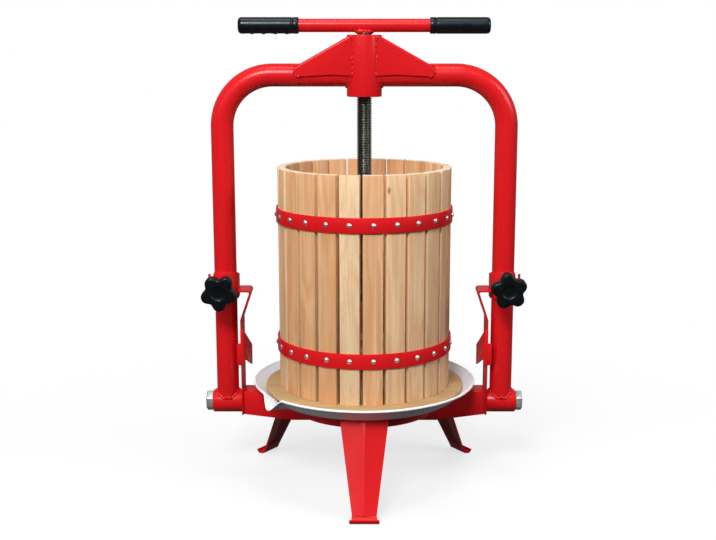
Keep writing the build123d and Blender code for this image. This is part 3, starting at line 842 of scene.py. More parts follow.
def dress(node: str, finish: Finish, rounding: Rounding = SHARP) -> None:
    """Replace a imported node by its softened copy."""
    fit(Bench.soften(node, rounding), finish, FRAME["nodes"][node]["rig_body"], node)


def coat(node: str, finish: Finish) -> None:
    """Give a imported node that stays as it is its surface.

    Args:
        node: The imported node.
        finish: Its surface.
    """
    packed = FRAME["nodes"][node]
    packed.data.materials.clear()
    packed.data.materials.append(finish.material())
    LOG.info("%s keeps its shape, %s", node, finish.name)


@dataclass
class Base:
    """The standing frame: pan, crossbar, legs and the two latch straps with their stops.

    Attributes:
        sheet_edge: Rounding of the pan and the crossbar.
        stop_edge: Rounding of the stops on the straps.
        leg_edge: Rounding of the legs; their toes stay sharp.
        strap_edge: Rounding of the latch straps.
        saddle_edge: Rounding of the saddles on the straps.
        bolt_edge: Rounding of the pivot bolts.
        nut_edge: Rounding of the pivot nuts.
    """

    sheet_edge: Rounding = Rounding(0.0007)
    stop_edge: Rounding = Rounding(0.0003, angle=70.0)
    leg_edge: Rounding = Rounding(0.0012, 3, length=0.004, floor=0.03, merge=0.05)
    strap_edge: Rounding = Rounding(0.0007, length=0.002)
    saddle_edge: Rounding = Rounding(0.0005, angle=70.0)
    bolt_edge: Rounding = Rounding(0.002, 4, length=0.002)
    nut_edge: Rounding = Rounding(0.0008, length=0.002)

    def build(self) -> None:
        """Dress the frame's plates and bolts."""
        for node in ("base_pan", "base_crossbar"):
            dress(node, RED, self.sheet_edge)
        dress("strap_stops", RED, self.stop_edge)
        for node in ("leg_front", "leg_rear_right", "leg_rear_left"):
            dress(node, RED, self.leg_edge)
        for side in Side:
            dress(f"latch_strap_{side.word}", RED, self.strap_edge)
            dress(f"latch_saddle_{side.word}", RED, self.saddle_edge)
        dress("pivot_bolts", ZINC, self.bolt_edge)
        dress("pivot_nuts", ZINC, self.nut_edge)


@dataclass
class Tray:
    """The drip tray with its pouring lip, the round board on it and the pressing boards.

    Attributes:
        seat: Height that the tray stands at.
        ring: Radius of a ring of points in the flat floor.
        floor: Radius of the flat floor.
        rim: Radius of the rim's centre line.
        top: Height of the rim.
        sheet: Thickness of the sheet.
        bead: Radius of the rolled edge.
        heel: The bend under the floor's edge: steps out from that edge and up from the floor.
        inner_heel: The bend on the floor, from the wall inward, in the same steps.
        head: Where the wall's outside runs into the roll: steps out and up from the roll's middle.
        inner_head: Where the wall's inside does.
        wall_steps: Steps up the wall.
        steps: Points round the tray.
        lip_turn: Turn of the lip from the front, in degrees; negative to the left.
        lip_half: Half the lip's width, in degrees.
        lip_reach: How far the lip stands out of the rim.
        lip_low: How far the rim falls in the lip.
        lip_curve: Below 1, the lip's floor is wider than a plain wave's.
        shade: Edges flatter than this are shaded smooth, in degrees.
        board_edge: Rounding of the round board.
        press_edge: Rounding of the pressing boards and blocks.
    """

    ROLL = range(-70, 171, 24)  # turns of the points round the rolled edge, in degrees

    seat: float = 0.145
    ring: float = 0.06
    floor: float = 0.154
    rim: float = 0.1822
    top: float = 0.171
    sheet: float = 0.0015
    bead: float = 0.002
    heel: tuple[Corner, ...] = ((-0.006, 0.0), (-0.0015, 0.0006), (0.0015, 0.0024))
    inner_heel: tuple[Corner, ...] = ((-0.001, 0.002), (-0.0035, 0.0005), (-0.007, 0.0))
    head: Corner = (-0.0019, -0.0008)
    inner_head: Corner = (-0.0036, -0.0004)
    wall_steps: int = 6
    steps: int = 360
    lip_turn: float = -53.5
    lip_half: float = 8.6
    lip_reach: float = 0.0075
    lip_low: float = 0.0215
    lip_curve: float = 0.85
    shade: float = 50.0
    board_edge: Rounding = Rounding(0.0018, 3)
    press_edge: Rounding = Rounding(0.0012)

    def slope(self, start: Corner, end: Corner) -> list[Corner]:
        """Space points evenly along one side of the wall.

        Args:
            start: Radius and height of the first point.
            end: Radius and height of the last point.

        Returns:
            The points, both ends included.
        """
        count = self.wall_steps
        wide, high = end[0] - start[0], end[1] - start[1]
        return [(start[0] + wide * k / count, start[1] + high * k / count) for k in range(count + 1)]

    def section(self) -> list[Corner]:
        """Half the tray's cross-section.

        Returns:
            Radius and height of its corners, from the axis below to the axis above.
        """
        rise = self.top - self.bead
        upper = self.seat + self.sheet
        heel = [(self.floor + out, self.seat + up) for out, up in self.heel]
        inner_heel = [(self.floor + out, upper + up) for out, up in self.inner_heel]
        head, inner_head = [(self.rim + out, rise + up) for out, up in (self.head, self.inner_head)]
        roll = []
        for degrees in self.ROLL:
            turn = math.radians(degrees)
            roll.append((self.rim + self.bead * math.cos(turn), rise + self.bead * math.sin(turn)))
        outside = [(0.0, self.seat), (self.ring, self.seat), *heel, *self.slope(heel[-1], head)[1:]]
        inside = [*self.slope(inner_head, inner_heel[0]), *inner_heel[1:], (self.ring, upper), (0.0, upper)]
        return outside + roll + inside

    def pour(self, piece: Piece) -> None:
        """Draw the rim down and out into the pouring lip.

        Args:
            piece: The turned tray.
        """
        low = self.seat + self.sheet
        flat = self.floor + self.heel[0][0]
        for point in piece.data.vertices:
            spot = point.co
            radius = math.hypot(spot.x, spot.y)
            if radius < flat:
                continue
            turn = math.degrees(math.atan2(spot.x, -spot.y)) - self.lip_turn
            turn = (turn + 180.0) % 360.0 - 180.0
            if abs(turn) >= self.lip_half:
                continue
            fall = (0.5 + 0.5 * math.cos(math.pi * turn / self.lip_half)) ** self.lip_curve
            share = max(0.0, (spot.z - low) / (self.top - low))
            wide = (radius + fall * share * self.lip_reach) / radius
            spot.x, spot.y = spot.x * wide, spot.y * wide
            spot.z -= fall * share * self.lip_low

    def build(self) -> None:
        """Turn the tray, draw its lip and dress the boards."""
        tray = Bench.lathe("tray_sheet", self.section(), self.steps)
        self.pour(tray)
        Bench.close(tray)
        Bench.smooth(tray, self.shade)
        fit(tray, ENAMEL, "tray", "drip_tray")
        dress("base_board", BOARD, self.board_edge)
        dress("press_boards", BEECH, self.press_edge)
        dress("press_blocks", BEECH, self.press_edge)


@dataclass
class Basket:
    """The ring of staves and its two riveted bands.

    Attributes:
        first: Turn of the first stave from the front, in degrees.
        step: Turn from one stave to the next.
        tones: How warm each stave is, from the first one on round to the right.
        figure: How much figure, and painted light on its side and end faces, a stave shows for each unit of
            its tone, up to 1 in all.
        first_shift: Shift of the first stave's pattern.
        shift: Shift from one stave's pattern to the next.
        relief: Depth of the wood's fine relief.
        stave_edge: Rounding of the staves.
        band_edge: Rounding of the bands.
    """

    first: float = 5.6
    step: float = 15.0
    tones: tuple[float, ...] = (0.66, 0.27, 0.3, 0.34, 0.2, 0.62, 0.45, 0.4, 0.75, 0.6, 0.85, 0.9, 1.05, 0.6,
                                0.7, 0.75, 0.4, 0.45, 0.55, 0.33, 0.66, 0.7, 0.75, 0.06)
    figure: float = 4.0
    first_shift: float = 0.11
    shift: float = 0.37
    relief: float = 0.00006
    stave_edge: Rounding = Rounding(0.0009)
    band_edge: Rounding = Rounding(0.0005)

    def build(self) -> None:
        """Dress every stave in a wood of its own, then the bands and rivets."""
        for index, tone in enumerate(self.tones):
            number = f"{index + 1:02d}"
            wood = Timber(f"stave_beech_{number}", Slot.BEECH, relief=self.relief, tone=tone,
                          turn=self.first + self.step * index, shift=self.shift * index + self.first_shift,
                          figure=min(1.0, self.figure * tone))
            dress(f"stave_{number}", wood, self.stave_edge)
        for node in ("band_upper", "band_lower"):
            dress(node, RED, self.band_edge)
        dress("band_rivets", RIVET)


@dataclass
class Arch:
    """The bent tubes over the basket with their sleeves, boss and gussets, welded up.

    Attributes:
        post: Distance of each post's axis from the middle.
        tube: Radius of the tube.
        sleeve: Radius of the pivot sleeves.
        pivot: Height of the pivot axis.
        bar: Height of the bar's axis.
        boss: Radius of the screw's boss.
        plate: Distance of the gussets' outer faces from the middle, front and back.
        plate_low: Height where the gussets meet the boss.
        plate_high: Height of the top of that seam.
        tip: Distance of the middle of a gusset's round end from the middle of the press.
        fill: Least height of a sleeve's weld over the pivot axis, on average.
        fill_wave: How far that height swells and sinks.
        fill_waves: Number of swellings round the post.
        fill_out: How far that weld's drops stand out of the tube at its sides.
        fill_in: How far they lie inside it at front and back.
        boss_out: How far the drops under the bar stand out of the boss.
        boss_low: How far they stand out of the bar.
        seam_out: How far the drops of a gusset's seam stand out of the boss, and its lumps of the plate.
        seam_step: Distance of the drops in a gusset's seam.
        seam_lumps: Shares of the seam's height with a lump on them.
        lump: Drops of such a lump: steps out and up.
        corner: Drops of the lump at a gusset's upper corner: steps out and down.
        corner_in: How far that lump lies inside the plate.
        tip_wide: Half the width of a gusset's round end.
        tip_high: Half its height.
        tip_rise: Height of its middle over the bar's axis.
        tip_in: How far the drops round it lie inside the plate.
        tip_bow: How much farther inside they lie at its outermost point.
        sleeve_edge: Rounding of the pivot sleeves.
        boss_edge: Rounding of the boss.
        plate_edge: Rounding of the gussets.
    """

    SLEEVE_DROPS = 56  # drops in the weld round a post
    BOSS_TURNS = range(94, 267, 4)  # turns of the drops under the bar, in degrees
    TIP_TURNS = range(24, 181, 9)  # turns of the drops round a gusset's end, in degrees
    SLEEVE_BEAD = 0.0026  # mean radius of the drops round a post
    BOSS_BEAD = 0.0021  # mean radius of those under the bar
    SEAM_BEAD = 0.0014  # mean radius of those along a gusset's seam
    CORNER_BEAD = 0.0023  # mean radius of those at its upper corner
    TIP_BEAD = 0.0019  # mean radius of those round its outer end

    post: float = 0.2291
    tube: float = 0.01825
    sleeve: float = 0.019
    pivot: float = 0.1305
    bar: float = 0.672
    boss: float = 0.028
    plate: float = 0.02125
    plate_low: float = 0.671
    plate_high: float = 0.732
    tip: float = 0.104
    fill: float = 0.0096
    fill_wave: float = 0.0009
    fill_waves: int = 11
    fill_out: float = 0.0002
    fill_in: float = 0.0004
    boss_out: float = 0.0004
    boss_low: float = 0.0003
    seam_out: float = 0.0006
    seam_step: float = 0.0013
    seam_lumps: tuple[float, ...] = (0.03, 0.45)
    lump: tuple[Corner, ...] = ((0.0014, 0.0), (0.0004, -0.001), (0.0, 0.0008))
    corner: tuple[Corner, ...] = ((0.0008, 0.0), (0.0026, 0.0006), (0.0014, 0.002))
    corner_in: float = 0.0009
    tip_wide: float = 0.0072
    tip_high: float = 0.0095
    tip_rise: float = 0.0075
    tip_in: float = 0.0014
    tip_bow: float = 0.0012
    sleeve_edge: Rounding = Rounding(0.0008)
    boss_edge: Rounding = Rounding(0.0012, 3)
    plate_edge: Rounding = Rounding(0.0007, 3, angle=55.0, length=0.008)

    def sleeve_path(self, side: Side) -> list[Vector]:
        """Where a post stands on its pivot sleeve, the bead filling the low middle of the joint.

        Args:
            side: The side of the press.

        Returns:
            The middle of each drop.
        """
        out, deep = self.tube + self.fill_out, self.tube - self.fill_in
        path = []
        for k in range(self.SLEEVE_DROPS):
            turn = 2 * math.pi * k / self.SLEEVE_DROPS
            seam = math.sqrt(self.sleeve ** 2 - (self.tube * math.sin(turn)) ** 2)
            rise = max(seam, self.fill + self.fill_wave * math.sin(self.fill_waves * turn))
            path.append(Vector((side.value * self.post + out * math.cos(turn), deep * math.sin(turn),
                                self.pivot + rise)))
        return path

    def boss_path(self, side: Side) -> list[Vector]:
        """Where the bar's underside runs into the boss.

        Args:
            side: The side of the press.

        Returns:
            The middle of each drop.
        """
        proud = self.tube + self.boss_low
        path = []
        for degrees in self.BOSS_TURNS:
            turn = math.radians(degrees)
            across = self.tube * math.sin(turn)
            reach = math.sqrt(self.boss ** 2 - across ** 2) + self.boss_out
            path.append(Vector((side.value * reach, across, self.bar + proud * math.cos(turn))))
        return path

    def seam_path(self, side: Side, face: Face) -> list[Vector]:
        """Where a gusset's face stands against the boss.

        Args:
            side: The side of the press.
            face: The gusset's face.

        Returns:
            The middle of each drop.
        """
        reach = math.sqrt(self.boss ** 2 - self.plate ** 2) + self.seam_out
        high = self.plate_high - self.plate_low
        count = round(high / self.seam_step)
        rise = high / count
        bead = [(reach, self.plate, self.plate_low + k * rise) for k in range(count + 1)]
        lumps = [(reach + step, self.plate + self.seam_out, self.plate_low + share * high + lift)
                 for share in self.seam_lumps for step, lift in self.lump]
        return [Vector((side.value * x, face.value * y, z)) for x, y, z in bead + lumps]

    def corner_path(self, side: Side, face: Face) -> list[Vector]:
        """The lump that ends a seam at the gusset's upper corner.

        Args:
            side: The side of the press.
            face: The gusset's face.

        Returns:
            The middle of each drop.
        """
        reach = math.sqrt(self.boss ** 2 - self.plate ** 2)
        deep = face.value * (self.plate - self.corner_in)
        return [Vector((side.value * (reach + step), deep, self.plate_high - drop))
                for step, drop in self.corner]

    def tip_path(self, side: Side, face: Face) -> list[Vector]:
        """Round a gusset's outer end, where it is welded to the bar.

        Args:
            side: The side of the press.
            face: The gusset's face.

        Returns:
            The middle of each drop.
        """
        path = []
        for degrees in self.TIP_TURNS:
            turn = math.radians(degrees)
            path.append(Vector((side.value * (self.tip + self.tip_wide * math.sin(turn)),
                                face.value * (self.plate - self.tip_in - self.tip_bow * math.sin(turn)),
                                self.bar + self.tip_rise + self.tip_high * math.cos(turn))))
        return path

    def bead(self, name: str, path: list[Vector], radius: float) -> None:
        """Lay one painted weld on the arch."""
        fit(Bench.weld(name, path, radius), RED, "arch")

    def build(self) -> None:
        """Dress the tubes and plates and lay the welds."""
        for side in Side:
            dress(f"arch_tube_{side.word}", RED)
            self.bead(f"sleeve_weld_{side.word}", self.sleeve_path(side), self.SLEEVE_BEAD)
            self.bead(f"boss_weld_{side.word}", self.boss_path(side), self.BOSS_BEAD)
            for face in Face:
                end = f"{face.word}_{side.word}"
                self.bead(f"seam_weld_{end}", self.seam_path(side, face), self.SEAM_BEAD)
                self.bead(f"corner_weld_{end}", self.corner_path(side, face), self.CORNER_BEAD)
                self.bead(f"tip_weld_{end}", self.tip_path(side, face), self.TIP_BEAD)
        dress("pivot_sleeves", RED, self.sleeve_edge)
        dress("screw_boss", RED, self.boss_edge)
        dress("arch_gussets", RED, self.plate_edge)
        coat("lead_nut", BRASS)
        coat("latch_bushes", ZINC)


@dataclass
class Screw:
    """The lead screw with its foot, and the handle with its two grips.

    Attributes:
        crest: Radius over the thread.
        root: Radius at the bottom of the thread.
        pitch: Rise in one turn.
        low: Height of the thread's lower end.
        end: Radius of the plain end that turns in the foot.
        end_tip: Radius of that end's chamfered tip.
        chamfer: Height of that chamfer.
        tenon: Radius of the plain end in the handle.
        steps: Points round the turned pieces.
        weld_wide: Half the width of the weld under the handle.
        weld_deep: Half its depth.
        weld_lift: Its height over the handle's underside.
        weld_bead: Mean radius of its drops.
        weld_drops: Number of its drops.
        weld_turn: Turn from one drop to the next, in radians.
        grip_reach: Distance of a grip's inner end from the middle.
        grip: Radius of a grip.
        grip_long: Length of a grip.
        grip_wall: Thickness of its wall.
        grip_cap: Thickness of its closed end.
        mouth: Its open end with a groove: steps out from its radius and along from its inner end.
        nose: Its closed end: steps out from its radius and along from its outer end.
        body: Where its plain body starts, from its inner end, one step before the first point.
        body_step: Distance of the points along its body.
        body_points: Number of those points.
        skin: Depth of the skin that the finger ridges are raised from.
        ridges: Distances of the finger ridges from the grip's inner end.
        ridge: Height of a finger ridge.
        ridge_half: Half the width of a finger ridge.
        ridge_fade: Above 1, a ridge fades faster round the grip.
        hollow: Depth of the hollows between the ridges.
        hollows: Where the hollows start and end.
        shade: Edges of a grip that are flatter than this are shaded smooth, in degrees.
        foot_edge: Rounding of the foot.
    """

    crest: float = 0.0124
    root: float = 0.01
    pitch: float = 0.004
    low: float = 0.325
    end: float = 0.0085
    end_tip: float = 0.0078
    chamfer: float = 0.0008
    tenon: float = 0.007
    steps: int = 40
    weld_wide: float = 0.0125
    weld_deep: float = 0.0105
    weld_lift: float = 0.0012
    weld_bead: float = 0.0036
    weld_drops: int = 14
    weld_turn: float = 0.4488
    grip_reach: float = 0.1042
    grip: float = 0.013
    grip_long: float = 0.096
    grip_wall: float = 0.0025
    grip_cap: float = 0.003
    mouth: tuple[Corner, ...] = ((-0.0006, 0.0), (-0.0001, 0.0008), (0.0, 0.009), (-0.0006, 0.0098),
                                 (-0.0006, 0.0108), (0.0, 0.0116))
    nose: tuple[Corner, ...] = ((-0.0004, -0.0035), (-0.0018, -0.0012), (-0.0042, -0.0001))
    body: float = 0.0125
    body_step: float = 0.0008
    body_points: int = 97
    skin: float = 0.0008
    ridges: tuple[float, ...] = (0.0185, 0.037, 0.0555, 0.074)
    ridge: float = 0.0013
    ridge_half: float = 0.0026
    ridge_fade: float = 1.5
    hollow: float = 0.00035
    hollows: Corner = (0.014, 0.085)
    shade: float = 45.0
    foot_edge: Rounding = Rounding(0.001, 3)

    def spindle(self) -> None:
        """Make the threaded spindle, with the plain end that turns in its foot."""
        low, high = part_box("drive_screw")
        bar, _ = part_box("handle_bar")
        rod = Bench.thread("spindle_thread", self.crest, self.root, self.pitch, self.low, bar.z)
        plug = [(0.0, low.z), (self.end_tip, low.z), (self.end, low.z + self.chamfer), (self.end, self.low),
                (0.0, self.low)]
        end = Bench.lathe("spindle_end", plug, self.steps)
        peg = [(0.0, bar.z), (self.tenon, bar.z), (self.tenon, high.z), (0.0, high.z)]
        tenon = Bench.lathe("spindle_tenon", peg, self.steps)
        for plain in (end, tenon):
            Bench.smooth(plain)
        fit(Bench.join([rod, end, tenon], "spindle"), DARK, "screw", "drive_screw")

    def weld_path(self) -> list[Vector]:
        """Where the spindle's top is welded under the handle.

        Returns:
            The middle of each drop.
        """
        low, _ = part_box("handle_bar")
        path = []
        for k in range(self.weld_drops):
            turn = k * self.weld_turn
            path.append(Vector((self.weld_wide * math.cos(turn), self.weld_deep * math.sin(turn),
                                low.z + self.weld_lift)))
        return path

    def finger_ridges(self, grip: Piece, way: Vector) -> None:
        """Raise the ridges between the fingers along one side of a grip.

        Args:
            grip: The grip, standing on its inner end.
            way: The side that the ridges face.
        """
        start, end = self.hollows
        for point in grip.data.vertices:
            spot = point.co
            around = Vector((spot.x, spot.y, 0))
            if around.length < self.grip - self.skin:
                continue
            facing = max(0.0, around.normalized().dot(way)) ** self.ridge_fade
            rise = sum(math.exp(-((spot.z - ridge) / self.ridge_half) ** 2) for ridge in self.ridges)
            hollow = self.hollow if start < spot.z < end else 0.0
            spot += around.normalized() * facing * (self.ridge * rise - hollow)

    def hand_grip(self, side: Side) -> Piece:
        """Make one grip, turned on end, ridged and laid on the handle.

        Args:
            side: The side of the press.

        Returns:
            The grip, in place.
        """
        bore, cap = self.grip - self.grip_wall, self.grip_long - self.grip_cap
        outline = [(0.0, cap), (bore, cap), (bore, 0.0)]
        outline += [(self.grip + out, along) for out, along in self.mouth]
        outline += [(self.grip, self.body + self.body_step * k) for k in range(1, self.body_points + 1)]
        outline += [(self.grip + out, self.grip_long + along) for out, along in self.nose]
        outline.append((0.0, self.grip_long))
        piece = Bench.lathe(f"grip_{side.word}", outline, self.steps)
        self.finger_ridges(piece, Vector((side.value, 0, 0)) if side is Side.LEFT else Vector((0, 1, 0)))
        low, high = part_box("handle_bar")
        piece.rotation_euler = (0, side.value * math.pi / 2, 0)
        piece.location = (side.value * self.grip_reach, 0, (low.z + high.z) / 2)
        Bench.settle(piece)
        Bench.smooth(piece, self.shade)
        return piece

    def build(self) -> None:
        """Make the spindle, handle and grips."""
        self.spindle()
        dress("press_foot", DARK, self.foot_edge)
        dress("handle_bar", RED)
        fit(Bench.weld("handle_weld", self.weld_path(), self.weld_bead), RED, "screw")
        grips = Bench.join([self.hand_grip(side) for side in Side], "hand_grips")
        fit(grips, RUBBER, "screw", "handle_grips")


@dataclass
class Latch:
    """One star knob with its stud and washer.

    Attributes:
        side: The side of the press.
        lobe: Mean radius of the star.
        wave: How far the lobes stand in and out of it.
        ripple: How far a finer wave flattens the lobes.
        lobes: Number of lobes.
        facets: Points round the star.
        head: Thickness of the star.
        round_over: Rounding of the star's edges.
        round_steps: Steps across that rounding.
        rim: Width of the flat round the hollow in its face, before the hollow is made round.
        dish: Radius of that hollow.
        dish_steps: Depth and share of the width of each step down into it.
        hub: Radius of the hub behind the star.
        hub_edge: Chamfer and taper of the hub, and how far it runs into the star.
        hub_steps: Points round the hub.
        stud_pitch: Rise of the stud's thread in one turn.
        stud_depth: Depth of that thread.
        turn: Turn of the star about its axis, in degrees.
        shade: Edges of the knob that are flatter than this are shaded smooth, in degrees.
        washer_edge: Rounding of the washer.
    """

    FLAT = 0.9  # a face whose normal rises more than this lies flat

    side: Side
    lobe: float = 0.0264
    wave: float = 0.0036
    ripple: float = 0.0005
    lobes: int = 5
    facets: int = 120
    head: float = 0.022
    round_over: float = 0.0042
    round_steps: int = 5
    rim: float = 0.002
    dish: float = 0.0124
    dish_steps: tuple[Corner, ...] = ((0.0004, 0.975), (0.0016, 0.78), (0.0002, 0.6))
    hub: float = 0.013
    hub_edge: float = 0.001
    hub_steps: int = 48
    stud_pitch: float = 0.0015
    stud_depth: float = 0.0009
    turn: float = 0.0
    shade: float = 40.0
    washer_edge: Rounding = Rounding(0.0003)

    def star(self) -> Piece:
        """Make the star-shaped head.

        Returns:
            The head, lying face up on the origin.
        """
        Bench.clear()
        bpy.ops.mesh.primitive_cylinder_add(vertices=self.facets, radius=1.0, depth=self.head,
                                            location=(0, 0, self.head / 2))
        piece = bpy.context.object
        piece.name = f"star_{self.side.word}"
        Bench.settle(piece)
        for point in piece.data.vertices:
            angle = math.atan2(point.co.y, point.co.x) - math.radians(self.turn)
            reach = self.lobe + self.wave * math.cos(self.lobes * angle)
            reach -= self.ripple * math.cos(2 * self.lobes * angle)
            point.co.x, point.co.y = point.co.x * reach, point.co.y * reach
        Bench.pick(piece, lambda face: abs(face.normal.z) > self.FLAT)
        bpy.ops.mesh.region_to_loop()
        bpy.ops.mesh.bevel(offset=self.round_over, offset_type="OFFSET", segments=self.round_steps,
                           profile=0.5)
        Bench.pick(piece, lambda face: face.normal.z > self.FLAT and len(face.vertices) > self.facets / 2)
        bpy.ops.mesh.inset(thickness=self.rim, depth=0.0)
        bpy.ops.object.mode_set(mode="OBJECT")
        face = next(face for face in piece.data.polygons if face.select)
        for index in face.vertices:
            spot = piece.data.vertices[index].co
            spot.x, spot.y = (part * self.dish / math.hypot(spot.x, spot.y) for part in (spot.x, spot.y))
        bpy.ops.object.mode_set(mode="EDIT")
        for drop, share in self.dish_steps:
            bpy.ops.mesh.extrude_region_move(TRANSFORM_OT_translate={"value": (0, 0, -drop)})
            bpy.ops.transform.resize(value=(share, share, 1), center_override=(0, 0, self.head))
        bpy.ops.object.mode_set(mode="OBJECT")
        return piece

    def knob(self, body: str) -> None:
        """Make the knob: the star on its hub.

        Args:
            body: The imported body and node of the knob.
        """
        low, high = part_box(body)
        length = high.y - low.y
        behind = length - self.head + self.hub_edge
        outline = [(0.0, 0.0), (self.hub - self.hub_edge, 0.0), (self.hub, self.hub_edge),
                   (self.hub + self.hub_edge, behind), (0.0, behind)]
        hub = Bench.lathe(f"hub_{self.side.word}", outline, self.hub_steps)
        star = self.star()
        star.location = (0, 0, length - self.head)
        knob = Bench.join([star, hub], f"star_knob_{self.side.word}")
        knob.rotation_euler = (math.pi / 2, 0, 0)
        knob.location = ((low.x + high.x) / 2, high.y, (low.z + high.z) / 2)
        Bench.settle(knob)
        Bench.smooth(knob, self.shade)
        fit(knob, PLASTIC, body, body)

    def stud(self, body: str) -> None:
        """Make the stud, threaded over its whole length.

        Args:
            body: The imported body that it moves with.
        """
        node = f"knob_stud_{self.side.word}"
        low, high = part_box(node)
        radius = (high.x - low.x) / 2
        rod = Bench.thread(f"stud_thread_{self.side.word}", radius, radius - self.stud_depth, self.stud_pitch,
                           0.0, high.y - low.y)
        rod.rotation_euler = (-math.pi / 2, 0, 0)
        rod.location = ((low.x + high.x) / 2, low.y, (low.z + high.z) / 2)
        Bench.settle(rod)
        fit(rod, ZINC, body, node)

    def build(self) -> None:
        """Make the knob and its stud and dress the washer."""
        body = f"knob_{self.side.word}"
        self.knob(body)
        self.stud(body)
        dress(f"knob_washer_{self.side.word}", ZINC, self.washer_edge)


@dataclass(frozen=True)
class Lamp:
    """A soft lamp.

    Attributes:
        name: The lamp's name.
        place: Where its middle is.
        aim: The point that it faces.
        wide: Its width.
        high: Its height.
        watts: Its power.
        shown: Whether it is seen in reflections.
    """

    name: str
    place: Place
    aim: Place
    wide: float
    high: float
    watts: float
    shown: bool = True

    def hang(self) -> None:
        """Put the lamp in the scene."""
        light = bpy.data.lights.new(self.name, "AREA")
        light.shape = "RECTANGLE"
        light.size, light.size_y = self.wide, self.high
        light.energy = self.watts
        lamp = bpy.data.objects.new(self.name, light)
        lamp.location = self.place
        lamp.visible_glossy = self.shown
        lamp.rotation_euler = (Vector(self.aim) - Vector(self.place)).to_track_quat("-Z", "Y").to_euler()
        bpy.context.scene.collection.objects.link(lamp)


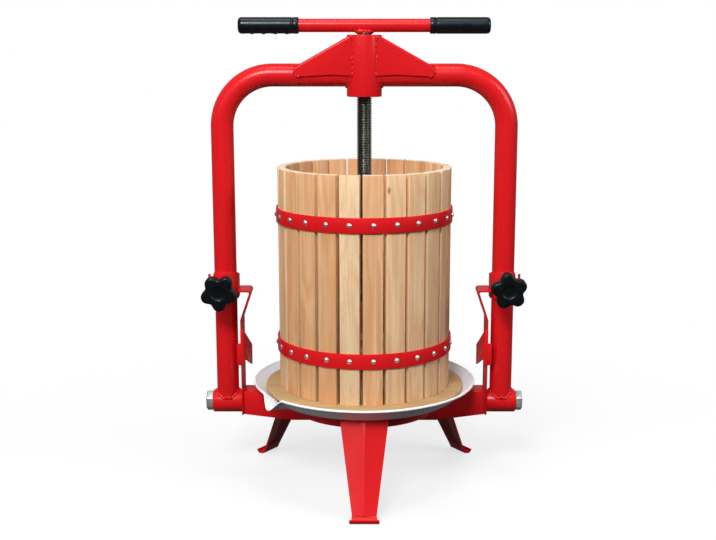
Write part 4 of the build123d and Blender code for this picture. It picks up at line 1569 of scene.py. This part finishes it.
@dataclass
class Studio:
    """Camera, lamps, floor and backdrop.

    Attributes:
        eye: Where the camera stands.
        pitch: Its turn up from looking straight down, in degrees.
        lens: Its focal length, in millimetres.
        sensor: Width of its sensor, in millimetres.
        shift: Shift of the picture to the side, as a share of its width.
        rise: Shift of the picture upward.
        clip: The nearest and farthest that it sees.
        ambient: Strength of the surround's light.
        reflected: Strength of the surround in reflections.
        floor_wide: Width of the floor.
        floor_shine: Strength of the floor in reflections.
        floor_pale: Colour of the floor where it shows shadow.
        floor_dim: Colour of the floor to the light that it throws back.
        shadow: How much of the shadow shows near the press.
        shadow_near: Distance from the middle where the shadow starts to fade.
        shadow_far: Distance where it is gone.
        lamps: The lamps.
    """

    eye: Place = (0.0, -1.8356, 0.7108)
    pitch: float = 79.0
    lens: float = 56.92
    sensor: float = 36.0
    shift: float = -0.0088
    rise: float = 0.0005
    clip: Corner = (0.05, 60.0)
    ambient: float = 0.1
    reflected: float = 0.25
    floor_wide: float = 40.0
    floor_shine: float = 0.1
    floor_pale: Colour = (0.9, 0.9, 0.9, 1)
    floor_dim: Colour = (0.04, 0.04, 0.04, 1)
    shadow: float = 0.3
    shadow_near: float = 0.3
    shadow_far: float = 0.9
    lamps: tuple[Lamp, ...] = (
        Lamp("key", (-0.8, -3.1, 2.9), aim=(0.0, 0.0, 0.38), wide=1.2, high=0.9, watts=108.0),
        Lamp("strip", (0.1, -2.0, 2.9), aim=(0.0, 0.0, 0.5), wide=4.0, high=0.34, watts=11.0),
        Lamp("top", (-0.2, -0.3, 3.2), aim=(0.0, 0.0, 0.4), wide=2.0, high=1.0, watts=26.0),
        Lamp("fill", (3.1, -1.2, 2.15), aim=(0.0, 0.0, 0.35), wide=1.5, high=1.5, watts=48.0),
        Lamp("side", (-2.3, -2.4, 1.8), aim=(-0.2, 0.0, 0.35), wide=1.28, high=1.28, watts=50.0, shown=False),
        Lamp("back", (0.4, 1.9, 1.5), aim=(0.0, 0.0, 0.35), wide=1.2, high=1.2, watts=12.0, shown=False),
    )

    def camera(self) -> None:
        """Set up the camera that the photo was taken with, as near as it can be read."""
        data = bpy.data.cameras.new("camera")
        data.lens, data.sensor_width = self.lens, self.sensor
        data.shift_x, data.shift_y = self.shift, self.rise
        data.clip_start, data.clip_end = self.clip
        camera = bpy.data.objects.new("camera", data)
        camera.location = self.eye
        camera.rotation_euler = (math.radians(self.pitch), 0, 0)
        bpy.context.scene.collection.objects.link(camera)
        bpy.context.scene.camera = camera

    @staticmethod
    def looks(tree: Tree) -> tuple[Socket, Socket]:
        """Tell apart who looks at a surface.

        Args:
            tree: The material's or surround's tree.

        Returns:
            1 where the camera looks, and 1 where a reflection or clear glass does.
        """
        path = tree.add("LightPath")
        mirror = tree.count("MAXIMUM", path.outputs["Is Glossy Ray"], path.outputs["Is Transmission Ray"])
        return path.outputs["Is Camera Ray"], mirror

    def floor(self) -> None:
        """Lay a wide pale floor that keeps a soft shadow near the press."""
        Bench.clear()
        bpy.ops.mesh.primitive_plane_add(size=self.floor_wide)
        floor = bpy.context.object
        floor.name = "floor"
        material = bpy.data.materials.new("floor_white")
        material.use_nodes = True
        tree = Tree(material.node_tree)
        material.node_tree.nodes.remove(material.node_tree.nodes["Principled BSDF"])
        eye, mirror = self.looks(tree)
        where = tree.add("TexCoord").outputs["Object"]
        reach = tree.add("VectorMath", {0: where}, operation="LENGTH").outputs["Value"]
        glow = tree.add("Emission", {"Color": (1, 1, 1, 1), "Strength": 1.0}).outputs[0]
        pale = tree.add("BsdfDiffuse", {"Color": self.floor_pale}).outputs[0]
        dull = tree.add("Emission", {"Color": (1, 1, 1, 1), "Strength": self.floor_shine}).outputs[0]
        dim = tree.add("BsdfDiffuse", {"Color": self.floor_dim}).outputs[0]
        fade = tree.span(reach, self.shadow_near, self.shadow_far, self.shadow, 0.0)
        shown = tree.add("MixShader", {0: fade, 1: glow, 2: pale}).outputs[0]
        other = tree.add("MixShader", {0: mirror, 1: dim, 2: dull}).outputs[0]
        both = tree.add("MixShader", {0: eye, 1: other, 2: shown}).outputs[0]
        tree.tree.links.new(both, material.node_tree.nodes["Material Output"].inputs["Surface"])
        floor.data.materials.append(material)

    def sky(self) -> None:
        """Make a white surround to the eye, and a softer one to the light and to reflections."""
        world = bpy.data.worlds.new("surround")
        world.use_nodes = True
        bpy.context.scene.world = world
        tree = Tree(world.node_tree)
        eye, mirror = self.looks(tree)
        shown = tree.span(eye, 0.0, 1.0, self.ambient, 1.0)
        strength = tree.count("MAXIMUM", shown, tree.span(mirror, 0.0, 1.0, self.ambient, self.reflected))
        background = world.node_tree.nodes["Background"]
        background.inputs["Color"].default_value = (1, 1, 1, 1)
        tree.tree.links.new(strength, background.inputs["Strength"])

    def build(self) -> None:
        """Set up the whole studio."""
        self.camera()
        self.floor()
        self.sky()
        for lamp in self.lamps:
            lamp.hang()
        bpy.context.scene.view_settings.view_transform = "Standard"


def main() -> None:
    """Dress the press part by part and light it."""
    logging.basicConfig(level=logging.INFO, format="%(name)s: %(message)s")
    latches = (Latch(Side.RIGHT, turn=26.0), Latch(Side.LEFT, turn=55.0))
    for part in (Base(), Tray(), Basket(), Arch(), Screw(), *latches, Studio()):
        LOG.info("building %s", type(part).__name__.lower())
        part.build()


if __name__ == "__main__":
    main()
